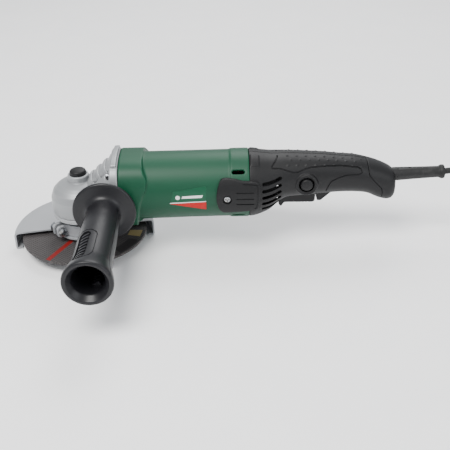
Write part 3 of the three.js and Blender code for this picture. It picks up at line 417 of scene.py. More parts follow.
def put(tree, kind, settings=(), links=()):
    """Adds one node, sets its fields and sockets, and joins its inputs to sources."""
    node = tree.nodes.new("ShaderNode" + kind)
    for name, value in dict(settings).items():
        if isinstance(name, str) and hasattr(node, name):
            setattr(node, name, value)
        else:
            node.inputs[name].default_value = value
    for name, (source, output) in dict(links).items():
        tree.links.new(source.outputs[output], node.inputs[name])
    return node


def every(size_mm):
    """The texture scale at which a pattern comes back every so many millimetres."""
    return 1 / (size_mm * MM)


def noise(tree, source, apart, detail, rough=0.5, twist=0.0):
    """Soft clouds of one size."""
    settings = {"Scale": every(apart), "Detail": detail, "Roughness": rough, "Distortion": twist}
    return put(tree, "TexNoise", settings, {"Vector": source}), "Fac"


def cells(tree, source, apart):
    """Small grains of one size."""
    return put(tree, "TexVoronoi", {"Scale": every(apart)}, {"Vector": source}), "Distance"


def bands(tree, source, apart, twist, detail, **fields):
    """Bands or rings so many millimetres apart: at scale 1 the texture has 20 / tau of them in a unit."""
    settings = {"Scale": every(apart) * math.tau / 20, "Distortion": twist, "Detail": detail}
    return put(tree, "TexWave", {**fields, **settings}, {"Vector": source}), "Fac"


def moved(tree, source, **settings):
    """Positions that are shifted, turned or stretched."""
    named = {name.capitalize(): value for name, value in settings.items()}
    return put(tree, "Mapping", named, {"Vector": source}), "Vector"


def ramp(tree, source, stops):
    """A source put through stops of (position, grey or colour)."""
    node = put(tree, "ValToRGB", {}, {"Fac": source})
    band = node.color_ramp
    while len(band.elements) < len(stops):
        band.elements.new(0.5)
    for element, (position, value) in zip(band.elements, stops):
        element.position = position
        element.color = value if hasattr(value, "__len__") else (value, value, value, 1)
    return node, "Color"


def blended(tree, low, high, factor, how="MIX"):
    """Two colours blended by a factor. Each of the three is a value or a source."""
    settings, links = {"data_type": "RGBA", "blend_type": how}, {}
    for socket, value in ((0, factor), (6, low), (7, high)):
        (links if isinstance(value, tuple) else settings)[socket] = value
    return put(tree, "Mix", settings, links), 2


def sum_of(tree, operation, *values):
    """An operation on values and sources."""
    settings, links = {"operation": operation}, {}
    for socket, value in enumerate(values):
        (links if isinstance(value, tuple) else settings)[socket] = value
    return put(tree, "Math", settings, links), 0


def edge_wear_and_hollow_shade(tree, stops):
    """Where the form stands out or sinks in, read from pointiness: paler edges for rubbed paint and plastic, and
    stops that start dark give painted shade in the hollows.
    """
    return ramp(tree, (put(tree, "NewGeometry"), "Pointiness"), stops)


def tinted(base, factor):
    """A colour made lighter or darker by a factor."""
    return [min(1, channel * factor) for channel in base[:3]] + [1.0]


def material(name, sockets, dress):
    """A material that is made once.

    dress lays the nodes and gives back the colour, the gloss as (lowest, highest, source) and the bumps, each as
    (strength, depth in millimetres, source).
    """
    made = bpy.data.materials.get(name)
    if made is not None:
        return made
    made = bpy.data.materials.new(name)
    made.use_nodes = True
    tree = made.node_tree
    shader = next(node for node in tree.nodes if node.type == "BSDF_PRINCIPLED")
    for socket, value in sockets.items():
        shader.inputs[socket].default_value = value
    (node, output), gloss, bumps = dress(tree, (put(tree, "TexCoord"), "Object"))
    tree.links.new(node.outputs[output], shader.inputs["Base Color"])
    if gloss:
        low, high, source = gloss
        spread = put(tree, "MapRange", {"To Min": low, "To Max": high}, {"Value": source})
        tree.links.new(spread.outputs["Result"], shader.inputs["Roughness"])
    below = {}
    for strength, depth, source in bumps:
        bump = put(tree, "Bump", {"Strength": strength, "Distance": depth * MM}, {"Height": source, **below})
        below = {"Normal": (bump, "Normal")}
    if bumps:
        tree.links.new(bump.outputs["Normal"], shader.inputs["Normal"])
    return made


def painted_cast_aluminium():
    """Silver-grey paint sprayed on die-cast aluminium: a soft satin gleam over orange peel and casting grit, paler
    on rubbed edges and darkened in its hollows as painted shade.
    """
    base = colours().cast

    def dress(tree, place):
        clouds = noise(tree, place, 22, 5, 0.6)
        # from pointiness: pale on edges for rubbed paint, dark in creases and recesses as painted shade
        edge = edge_wear_and_hollow_shade(tree, [(0.47, 0.0), (0.5, 0.5), (0.56, 1.0)])
        paint = blended(tree, tinted(base, 0.9), tinted(base, 1.06), clouds)
        # worn carries both the rubbed edges and the painted shade in the hollows
        worn = blended(tree, paint, edge, 0.5, "SOFT_LIGHT")
        peel, grit = noise(tree, place, 1.8, 2), cells(tree, place, 0.5)
        return worn, (0.36, 0.52, clouds), [(0.35, 0.05, peel), (0.25, 0.02, grit)]

    sockets = {"Metallic": 0.35, "Coat Weight": 0.15, "Coat Roughness": 0.3}
    return material("Painted cast aluminium, sprayed", sockets, dress)


def powder_coated_steel():
    """Baked powder on pressed sheet: even pale grey with a fine pebbled skin, scuffed all over."""
    base = colours().sheet

    def dress(tree, place):
        clouds = noise(tree, place, 30, 6)
        stretch = moved(tree, place, scale=(1, 9, 1), rotation=(0, 0, 0.6))
        scratches = noise(tree, stretch, 6, 8, 0.75)
        lines = ramp(tree, scratches, [(0.0, 0.0), (0.62, 0.0), (0.7, 1.0)])
        coat = blended(tree, tinted(base, 0.88), tinted(base, 1.07), clouds)
        scuffed = blended(tree, coat, linear("#8E8F92"), lines)
        return scuffed, (0.34, 0.56, scratches), [(0.4, 0.04, noise(tree, place, 0.9, 2))]

    return material("Powder-coated steel sheet, pressed", {"Metallic": 0.1}, dress)


def moulded_nylon(name, base, rough, grain_mm, depth_mm, wear):
    """Glass-filled nylon from a textured mould: a fine even grain, a satin sheen and paler rubbed edges."""

    def dress(tree, place):
        clouds = noise(tree, moved(tree, place, scale=(0.35, 1, 1)), 26, 6, twist=0.6)
        edge = edge_wear_and_hollow_shade(tree, [(0.0, 0.0), (0.51, 0.0), (0.6, 1.0)])
        body = blended(tree, tinted(base, 0.86), tinted(base, 1.14), clouds)
        rubbed = blended(tree, body, tinted(base, wear * 1.2), edge)
        ripple, grain = noise(tree, place, 5, 3), cells(tree, place, grain_mm)
        return rubbed, (rough - 0.07, rough + 0.09, clouds), [(0.2, 0.08, ripple), (0.5, depth_mm, grain)]

    return material(name, {"IOR": 1.53, "Specular IOR Level": 0.28}, dress)


def green_nylon():
    # A close grain that keeps a long soft highlight along the barrel.
    return moulded_nylon("Green glass-filled nylon, moulded", colours().green, 0.47, 0.5, 0.03, 1.15)


def black_nylon():
    # A coarser spark-eroded grain that breaks the highlight up.
    name = "Black nylon, moulded with a spark-eroded grain"
    return moulded_nylon(name, colours().black, 0.5, 0.8, 0.06, 1.5)


def grip_nylon():
    # Smoother and a little shinier than the rear handle, as on a part that hands polish.
    return moulded_nylon("Dark grey nylon, moulded smooth", colours().grip, 0.36, 0.7, 0.02, 1.5)


def moulded_rubber():
    """Matte rubber sheath with a faint ripple from the extruder and pale dust in patches."""
    base = colours().rubber

    def dress(tree, place):
        dust = noise(tree, place, 14, 8, 0.7)
        patches = ramp(tree, dust, [(0.0, 0.0), (0.52, 0.0), (0.8, 0.35)])
        tone = blended(tree, tinted(base, 1.0), linear("#5B5A58"), patches)
        return tone, (0.46, 0.68, dust), [(0.45, 0.06, noise(tree, place, 1.1, 4))]

    return material("Rubber sheath, extruded", {"IOR": 1.52, "Specular IOR Level": 0.35}, dress)


def zinc_plated_steel():
    """Bright zinc on cold-formed screws: a cool gleam with faint yellow and blue clouds and tumbling marks."""

    def dress(tree, place):
        marks = noise(tree, place, 0.7, 6)
        stops = [(0.3, linear("#888B90")), (0.5, linear("#A4A6A9")), (0.7, linear("#A09B8C"))]
        tone = ramp(tree, noise(tree, place, 5, 4), stops)
        return tone, (0.2, 0.42, marks), [(0.3, 0.03, marks)]

    return material("Zinc-plated steel, cold-formed", {"Metallic": 1.0}, dress)


def turned_steel(name, direction):
    """Steel turned on a lathe: fine rings about its axis, drawn 0.6 mm apart so that they show, and a dry gleam."""

    def dress(tree, place):
        centre = moved(tree, place, location=tuple(-HOME))
        rings = bands(tree, centre, 0.6, 1.5, 3, wave_type="RINGS", rings_direction=direction)
        stops = [(0.3, linear("#84868A")), (0.6, linear("#A9ABAF")), (0.75, linear("#9A948A"))]
        tone = ramp(tree, noise(tree, place, 9, 6), stops)
        return tone, (0.24, 0.44, rings), [(0.3, 0.02, rings)]

    return material(name, {"Metallic": 1.0}, dress)


def spindle_steel():
    # Rings about the upright spindle.
    return turned_steel("Steel, turned about the spindle", "Z")


def shaft_steel():
    # Rings about the motor's axis.
    return turned_steel("Steel, turned about the motor", "X")


def layered(name, dark, light, metallic, rough, spacing_mm, depth_mm):
    """Many thin layers or wires side by side: bands with dark gaps, each a little different."""

    def dress(tree, place):
        wires = bands(tree, place, spacing_mm, 0.4, 2, bands_direction="X")
        clouds = noise(tree, place, 7, 5)
        tone = blended(tree, linear(dark), linear(light), ramp(tree, wires, [(0.0, 0.0), (0.35, 1.0)]))
        varied = blended(tree, tone, clouds, 0.4, "OVERLAY")
        return varied, (rough - 0.08, rough + 0.12, clouds), [(0.6, depth_mm, wires)]

    return material(name, {"Metallic": metallic}, dress)


def electrical_steel():
    # A stack of stamped sheets, drawn 1 mm thick so that the layers show.
    return layered("Electrical steel, stamped and stacked", "#2F3033", "#6C6E72", 0.9, 0.42, 1.0, 0.1)


def wound_copper():
    # Enamelled wire of about 0.9 mm: reddish, glossy, with dark varnish between the turns.
    return layered("Copper wire, enamelled and wound", "#4A1E0E", "#B8642F", 0.8, 0.3, 0.9, 0.25)


def commutator_copper():
    """Hard copper bars with dark mica between them, worn bright by the brushes."""
    bars = 24

    def dress(tree, place):
        centre = moved(tree, place, location=tuple(-HOME))
        aside = put(tree, "SeparateXYZ", {}, {"Vector": centre})
        angle = sum_of(tree, "ARCTAN2", (aside, "Y"), (aside, "Z"))
        within = sum_of(tree, "FRACT", sum_of(tree, "MULTIPLY", angle, bars / math.tau))
        mica = ramp(tree, within, [(0.0, 0.0), (0.12, 0.0), (0.16, 1.0)])
        return blended(tree, linear("#2A1B14"), linear("#B9714A"), mica), None, [(0.5, 0.2, mica)]

    return material("Copper bars, turned", {"Metallic": 1.0, "Roughness": 0.3}, dress)


def pressed_brass():
    """Brass strip and rod: warm, softly brushed, a little dulled."""

    def dress(tree, place):
        brush = noise(tree, moved(tree, place, scale=(0.1, 1, 1)), 0.6, 6)
        stops = [(0.35, linear("#9A7C36")), (0.65, linear("#CDB36A"))]
        return ramp(tree, noise(tree, place, 8, 5), stops), (0.22, 0.45, brush), [(0.3, 0.02, brush)]

    return material("Brass, pressed", {"Metallic": 1.0}, dress)


def pressed_carbon():
    """Carbon pressed from powder: near black, matte, with a fine sparkle of graphite."""

    def dress(tree, place):
        powder = cells(tree, place, 0.5)
        tone = blended(tree, linear("#141415"), linear("#38383A"), powder)
        return tone, (0.5, 0.8, powder), [(0.5, 0.05, powder)]

    return material("Carbon, pressed", {"IOR": 1.6}, dress)


def bonded_abrasive():
    """Grit in resin over glass-fibre net: rough dark grains, with its threads 2.6 mm apart showing through."""
    base = colours().abrasive

    def dress(tree, place):
        centre = moved(tree, place, location=tuple(-HOME))
        grit = cells(tree, centre, 1.1)
        threads = []
        for angle in (math.radians(35), math.radians(125)):
            laid = moved(tree, centre, rotation=(0, 0, angle))
            wave = bands(tree, laid, 2.6, 0.5, 1, bands_direction="X")
            threads.append(ramp(tree, wave, [(0.0, 0.0), (0.7, 0.0), (0.95, 1.0)]))
        net = blended(tree, *threads, 1.0, "LIGHTEN")
        grains = blended(tree, tinted(base, 0.55), tinted(base, 1.5), grit)
        cloudy = blended(tree, grains, noise(tree, centre, 16, 6), 0.5, "OVERLAY")
        netted = blended(tree, cloudy, linear("#7A7472"), sum_of(tree, "MULTIPLY", net, 0.2))
        return netted, (0.62, 0.85, grit), [(0.7, 0.25, grit), (0.6, 0.15, net)]

    return material("Resin-bonded abrasive, pressed on glass net", {"IOR": 1.55}, dress)


def printed(name, base, rough, speck):
    """A thin printed film: flat colour with a fine speckle where the surface below wears through."""

    def dress(tree, place):
        wear = noise(tree, place, 1.4, 8, 0.7)
        spots = ramp(tree, wear, [(0.0, 0.0), (0.6, 0.0), (0.75, speck)])
        tone = blended(tree, tinted(base, 0.92), tinted(base, 1.06), noise(tree, place, 12, 3))
        worn = blended(tree, tone, tinted(base, 0.45), spots)
        return worn, (rough - 0.06, rough + 0.1, wear), [(0.2, 0.02, wear)]

    return material(name, {"Specular IOR Level": 0.3}, dress)


def studio_paper():
    """Seamless white paper: matte, with a very faint mottling."""

    def dress(tree, place):
        return blended(tree, linear("#F4F4F5"), linear("#FAFAFA"), noise(tree, place, 60, 4)), None, []

    return material("Paper, seamless roll", {"Roughness": 0.9, "Specular IOR Level": 0.2}, dress)


# ---------- The stage and the cord, which come first ----------


class GRINDER_OT_stage(bpy.types.Operator):
    """Sets up the floor, the soft studio light and the camera"""

    bl_idname = "grinder.stage"
    bl_label = "Stage"

    def execute(self, context):
        scene = context.scene
        low = CAD_BOX[0][2]
        ground = bpy.data.meshes.new("floor")
        reach = 4.0
        corners = ((-reach, -reach), (reach, -reach), (reach, reach), (-reach, reach))
        ground.from_pydata([(x, y, low - 0.0003) for x, y in corners], [], [(0, 1, 2, 3)])
        floor = bpy.data.objects.new("floor", ground)
        scene.collection.objects.link(floor)
        ground.materials.append(studio_paper())

        for name, at, size_m, power, tint in (
            ("key light", (-0.45, -0.6, 1.35), 0.8, 30, (1, 0.99, 0.97)),
            ("fill light", (0.95, -0.7, 0.7), 0.9, 7, (0.96, 0.98, 1)),
            ("back light", (0.15, 1.0, 1.2), 1.0, 15, (1, 1, 1)),
        ):
            lamp = bpy.data.lights.new(name, "AREA")
            lamp.shape = "DISK"
            lamp.size = size_m
            lamp.energy = power
            lamp.color = tint
            holder = bpy.data.objects.new(name, lamp)
            scene.collection.objects.link(holder)
            holder.location = at
            aim = Vector((0, 0.02, 0.04)) - holder.location
            holder.rotation_euler = aim.to_track_quat("-Z", "Y").to_euler()

        world = bpy.data.worlds.new("studio")
        world.use_nodes = True
        sky = world.node_tree.nodes["Background"]
        sky.inputs["Color"].default_value = (0.95, 0.97, 1.0, 1)
        sky.inputs["Strength"].default_value = 0.8
        scene.world = world

        elevation, turn, roll = math.radians(30.97), math.radians(0.44), math.radians(1.05)
        level = math.cos(elevation)
        ahead = Vector((math.sin(turn) * level, math.cos(turn) * level, -math.sin(elevation)))
        right = Vector((math.cos(turn), -math.sin(turn), 0))
        up = right.cross(ahead)
        tipped_right = right * math.cos(roll) - up * math.sin(roll)
        tipped_up = right * math.sin(roll) + up * math.cos(roll)
        aim, away = HOME + Vector((143.02, -1.1, -48.46)) * MM, 0.78216
        lens = bpy.data.cameras.new("camera")
        lens.lens = scene.grinder_sizes.camera_lens
        lens.sensor_width = 36
        camera = bpy.data.objects.new("camera", lens)
        scene.collection.objects.link(camera)
        turned_axes = Matrix((tipped_right, tipped_up, -ahead)).transposed().to_4x4()
        camera.matrix_world = Matrix.Translation(aim - ahead * away) @ turned_axes
        scene.camera = camera
        return {"FINISHED"}


class GRINDER_OT_cord(bpy.types.Operator):
    """Lays the mains cord from its sleeve down to the floor, round its coil and up to the plug"""

    bl_idname = "grinder.cord"
    bl_label = "Cord"

    def execute(self, context):
        thick = context.scene.grinder_sizes.cord
        exit_point = (RELIEF_END * MM + 0.0003, 0, 0.0717)
        # x, y and the height above the floor, in metres, in the tool's own axes
        lead = [
            exit_point, (0.367, 0, 0.0725), (0.375, -0.0003, 0.0734), (0.383, -0.001, 0.0726),
            (0.391, -0.0022, 0.0698), (0.3985, -0.004, 0.0644), (0.405, -0.0064, 0.0565),
            (0.4105, -0.0096, 0.0465), (0.4155, -0.0138, 0.035), (0.421, -0.0194, 0.0235),
            (0.428, -0.027, 0.0135), (0.437, -0.0364, 0.0068), (0.4475, -0.046, 0.0038),
            (0.4595, -0.0542, 0.0032),
        ]
        tail = [
            (0.5309, -0.012, 0.0223), (0.531, -0.004, 0.0203), (0.531, 0.004, 0.0174),
            (0.531, 0.012, 0.0147), (0.531, 0.019, 0.0136), (0.531, 0.024, 0.0135),
        ]
        ring = span("cord_coil")
        centre = ((ring[0].x + ring[1].x) / 2 * MM, (ring[0].y + ring[1].y) / 2 * MM)
        pitch, inner, outer = 0.0066, 0.0295, 0.0427
        layers, per_turn, climb = 4, 16, 5
        lie, start = 0.0032, -110  # height of the cord's middle on the floor, and where the coil starts
        coil = []
        for layer in range(layers):
            out_to_in = layer % 2 == 0
            for k in range(2 * per_turn):
                part = k if layer == 0 else max(0, k - climb)
                share = part / (2 * per_turn if layer == 0 else 2 * per_turn - climb)
                radius = outer + (inner - outer) * (share if out_to_in else 1 - share)
                rise = 1 if layer == 0 else min(1, k / climb)
                high = lie + pitch * (layer - 1 + rise * rise * (3 - 2 * rise))
                angle = math.radians(start) + math.tau * (2 * layer + k / per_turn)
                across, along = radius * math.cos(angle), radius * math.sin(angle)
                coil.append((centre[0] + across, centre[1] + along, high))
        for k in range(6):
            across, along = polar(outer, start + 22 * k)
            coil.append((centre[0] + across, centre[1] + along, lie + pitch * (layers - 1)))
        floor = FLOOR * MM
        route = [HOME + Vector((x, y, z + floor)) for x, y, z in lead + coil + tail]

        curve = bpy.data.curves.new("mains_cord", "CURVE")
        curve.dimensions = "3D"
        curve.resolution_u = 6
        curve.bevel_depth = thick / 2
        curve.bevel_resolution = 7
        curve.use_fill_caps = True
        line = curve.splines.new("BEZIER")
        line.bezier_points.add(len(route) - 1)
        for point, place in zip(line.bezier_points, route):
            point.co = place
            point.handle_left_type = point.handle_right_type = "AUTO"
        cord = bpy.data.objects.new("mains_cord", curve)
        context.scene.collection.objects.link(cord)
        curve.materials.append(moulded_rubber())
        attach(cord, "tool")
        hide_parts("cord_lead", "cord_coil", "cord_tail")

        body = loft(
            eased(
                [
                    (24.3, 0, 4.2, 4.2, 2), (30, 0, 4.6, 4.5, 2), (42, 0, 6, 5.6, 2), (44.5, 0, 7.5, 7, 2.2),
                    (47, 0, 12.4, 10.2, 2.6), (54, 0, 15.4, 12.4, 3), (66, 0, 17.2, 12.8, 3.2),
                    (79, 0, 18.3, 13.2, 3.4), (83, 0, 18.2, 13.1, 3.4), (84, 0, 17.2, 12.2, 3.4),
                ],
                5,
            ),
            96,
        )
        rings = [
            pipe(3.4 + 0.09 * i, 8, 27 + 3.6 * i, 28.3 + 3.6 * i, "+X", sides=48) for i in range(4)
        ]
        dents = [
            block((58 + 4.5 * i, side * 19.8 - 2.4, -7), (60 + 4.5 * i, side * 19.8 + 2.4, 7))
            for side in (1, -1)
            for i in range(4)
        ]
        body = worked(body, cut=[*rings, *dents], step=0.45, soften=3)
        plug_x, plug_z = 531, FLOOR + 13.5
        turned_to(body, Matrix.Translation((plug_x, 0, plug_z)) @ Matrix.Rotation(math.pi / 2, 4, "Z"))
        plug = finished(body, "plug_moulding", moulded_rubber(), "tool", ["plug_body"])
        for number, side in ((1, -9.5), (2, 9.5)):
            pin = turned(
                [(0, 84.3), (2.4, 84.3), (2.4, 92), (2.25, 92.2), (2.25, 101), (2, 102.2), (1.2, 103), (0, 103)],
                "+Y",
                (plug_x + side, 0, plug_z),
                40,
            )
            name, stands_for = f"plug_contact_{number}", [f"plug_pin_{number}"]
            finished(pin, name, pressed_brass(), "tool", stands_for)
        return {"FINISHED"}


# ---------- Gear head ----------

COARSE = 1.4  # how much coarser the skin of the two largest mouldings is
SCREW_PLACES = [(-20.5, 20.5), (20.5, 20.5), (-20.5, -20.5), (20.5, -20.5)]


def cross_screw(r, head_r, head_high, tip):
    """A pan-head screw along its z, its head's top at 0, with a cross recess."""
    under = -head_high
    body = turned(
        [
            (0, tip), (r * 0.7, tip), (r, tip + 1), (r, under), (head_r, under),
            (head_r, under + head_high * 0.45), (head_r * 0.9, -head_high * 0.16), (head_r * 0.62, -0.03), (0, 0),
        ],
        sides=48,
    )
    long, wide = head_r * 0.7, head_r * 0.22
    deep = max(1.7, head_high * 0.62)
    arms = [block((-long, -wide, -deep), (long, wide, 1)), block((-wide, -long, -deep), (wide, long, 1))]
    cone = turned([(0, -deep - 0.4), (wide * 2, -deep * 0.5), (wide * 2.6, 1), (0, 1)], sides=4)
    return worked(body, cut=[*arms, cone])


class GRINDER_OT_gear_head(bpy.types.Operator):
    """Builds the cast gear housing, its cover and its screws"""

    bl_idname = "grinder.gear_head"
    bl_label = "Gear Head"

    def execute(self, context):
        pot = turned(
            [
                (0, -24), (27.9, -24), (28.5, -23.4), (28.5, -8.9), (28.3, -8.1), (25.9, -1.8), (22.4, 1.9),
                (18.5, 4.5), (14.5, 6.2), (11.6, 7), (10.6, 7.4), (10.3, 8.2), (10.3, 12.8), (9.8, 13.5), (0, 13.5),
            ],
            sides=128,
        )
        rear = rounded_square(JOINT - 7.6, -3, 31.6, 30.6, 2.4, 64)
        throat = hull(rear + rounded_square(10, -4, 14, 13, 2, 64))
        arc = [(math.cos(math.tau * i / 64), math.sin(math.tau * i / 64)) for i in range(64)]
        sides = hull(
            [p for p in rear if p[2] < 4]
            + [(28.1 * c, 28.1 * s, -24) for c, s in arc]
            + [(25.7 * c, 25.7 * s, -2) for c, s in arc]
        )
        top_line = (32.8 - 11.6) / (JOINT - 7 - 11)  # how steeply the ridge over the neck climbs

        def ridge(grow):
            behind = rounded_square(JOINT - 7, 20, 15.5, 12.8, 3, 48, grow)
            return hull(behind + rounded_square(11, 4, 12.5, 7.6, 3, 48, grow))

        flange = loft(
            [
                (JOINT - 8.5, 0, 32.8, 32.8, 3), (JOINT - 7.4, 0, 33.6, 33.6, 3),
                (JOINT - 0.9, 0, 33.6, 33.6, 3), (JOINT - 0.3, 0, 33, 33, 3),
            ]
        )
        strap = worked(
            loft([(JOINT - 6.4, 0, 35.8, 35.8, 3), (JOINT - 1.8, 0, 35.8, 35.8, 3)]),
            keep=[block((30, -23, 20), (45, 23, 40))],
        )
        foot = worked(
            loft([(JOINT - 6.4, 0, 35, 35, 3), (JOINT - 1.8, 0, 35, 35, 3)]),
            keep=[block((30, -12, -40), (45, 12, -20))],
        )
        bosses = [
            turned([(0, 12), (10.2, 14), (9.4, 33), (9, 37.4), (8.5, 38), (0, 38)], way, (SIDE_X, 0, SIDE_Z), 64)
            for way in ("+Y", "-Y")
        ]
        gussets = [
            hull(
                [
                    (SIDE_X - 9, side * 16, SIDE_Z - 2), (SIDE_X - 9, side * 16, SIDE_Z + 2),
                    (SIDE_X - 7, side * 34, SIDE_Z - 1), (SIDE_X - 7, side * 34, SIDE_Z + 1),
                    (4, side * 24, SIDE_Z - 2), (4, side * 24, SIDE_Z + 2), (20, side * 20, SIDE_Z - 6),
                    (20, side * 20, SIDE_Z + 6),
                ]
            )
            for side in (1, -1)
        ]
        scoops = []
        for x in (15.4, 22.4, 29.4):
            band = block((-2.8, -25, -14), (2.8, 25, 10))
            lean = Matrix.Rotation(-math.atan(top_line), 4, "Y")
            turned_to(band, Matrix.Translation((x, 0, 11.6 + top_line * (x - 11))) @ lean)
            scoops.append(worked(band, keep=[ridge(1)], cut=[ridge(-1.6)]))
        pockets = [rod(4, 8, 33, "+X", (0, y, z), 40) for y, z in SCREW_PLACES]
        outside = worked(
            pot,
            add=[throat, sides, ridge(0), flange, strap, foot, *bosses, *gussets],
            cut=[*scoops, *pockets, rod(32, -60, -24, sides=128)],
            step=mm("skin"),
            soften=4,
        )
        hollow = [
            turned([(0, -26), (25, -26), (25, -4), (15, -1), (0, -1)]),
            rod(9.8, -2, 4.8),
            rod(6.3, 0, 9.5),
            rod(8.4, 8.5, 16, sides=72),
            rod(13.3, 14, JOINT + 1, "+X"),
            rod(24.3, 33, JOINT + 1, "+X", sides=96),
            rod(4.3, -39, 39, "+Y", (SIDE_X, 0, SIDE_Z)),
            *[rod(2.3, 0, JOINT + 1, "+X", (0, y, z)) for y, z in SCREW_PLACES],
        ]
        casting = worked(outside, cut=hollow)
        paint = painted_cast_aluminium()
        finished(casting, "gear_head_casting", paint, "tool", ["gear_housing"])

        low = NECK_LOW
        cover = turned(
            [
                (6.6, low + 0.4), (7, low), (20.6, low), (21.2, low + 0.6), (21.2, -30.6), (22.4, -29.6),
                (25.4, -29.3), (27.6, -29), (28.1, -28.4), (28.1, -24.8), (27.7, -24.3), (16.3, -24.3),
                (16.3, -31.6), (6.6, -31.6),
            ],
            sides=128,
        )
        finished(cover, "gearbox_cover_casting", paint, "tool", ["gearbox_cover"])

        for number, (y, z) in enumerate(SCREW_PLACES, 1):
            whole = turned_to(cross_screw(2, 3.4, 2.6, -22), facing("-X", (29.7, y, z)))
            name = f"housing_bolt_{number}"
            finished(whole, name, zinc_plated_steel(), "tool", [f"housing_screw_{number}"])
        return {"FINISHED"}


class GRINDER_OT_lock_button(bpy.types.Operator):
    """Builds the domed button of the spindle lock and its return spring"""

    bl_idname = "grinder.lock_button"
    bl_label = "Spindle Lock Button"

    def execute(self, context):
        low, high = span("spindle_lock_button")
        top, dome, wide = high.z, mm("button_dome"), 8.1
        under, pocket = 13.1, 15.9
        crown = [(polar(wide - 0.3, a)[0], top - dome + polar(dome, a)[1]) for a in range(8, 90, 8)]
        cap = turned([(0, under), (wide, under), (wide, top - dome - 0.6), *crown, (0, top)], sides=96)
        pin = block((-2.1, -2.1, low.z), (2.1, 2.1, under + 1))
        seat = pipe(6.3, 7.7, under - 1, pocket, sides=96)
        finished(
            worked(cap, add=[pin], cut=[seat]), "lock_button_cap", black_nylon(), "spindle_lock",
            ["spindle_lock_button"],
        )

        # the spring stands on its ledge in the casting and reaches into the cap's pocket
        foot, across, thick = span("spindle_lock_spring")[0].z, 7, 0.35
        coils, per_coil, around = 3.5, 32, 10
        tall = pocket - 0.1 - foot
        centres = []
        for i in range(int(coils * per_coil) + 1):
            angle = math.tau * i / per_coil
            rise = foot + thick + (tall - 2 * thick) * i / (coils * per_coil)
            centres.append((math.cos(angle), math.sin(angle), rise))
        points = [
            ((across + out) * c, (across + out) * s, z + up)
            for c, s, z in centres
            for out, up in (polar(thick, 360 * k / around) for k in range(around))
        ]
        faces = [list(range(around)), list(range(len(points) - around, len(points)))]
        for near in range(0, len(points) - around, around):
            far = near + around
            for k in range(around):
                after = (k + 1) % around
                faces.append([near + k, near + after, far + after, far + k])
        wire, steel = shape(points, faces), spindle_steel()
        coil = finished(wire, "lock_return_spring", steel, "tool", ["spindle_lock_spring"])
        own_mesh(coil)
        return {"FINISHED"}


# ---------- Motor housing ----------


def on_barrel(outline, inner, outer, low_x, high_x):
    """A plate with an (x, z) outline, bent round the motor's axis on the side towards -y."""
    plate = pipe(inner, outer, low_x, high_x, "+X", sides=224)
    return worked(plate, keep=[slab(outline, 8, 45, "-Y")])


def put_on_both_sides(left, tag, paint):
    right = mirrored(left)
    for side, film in (("left", left), ("right", right)):
        finished(film, f"side_{tag}_{side}", paint, "tool", (), 60)


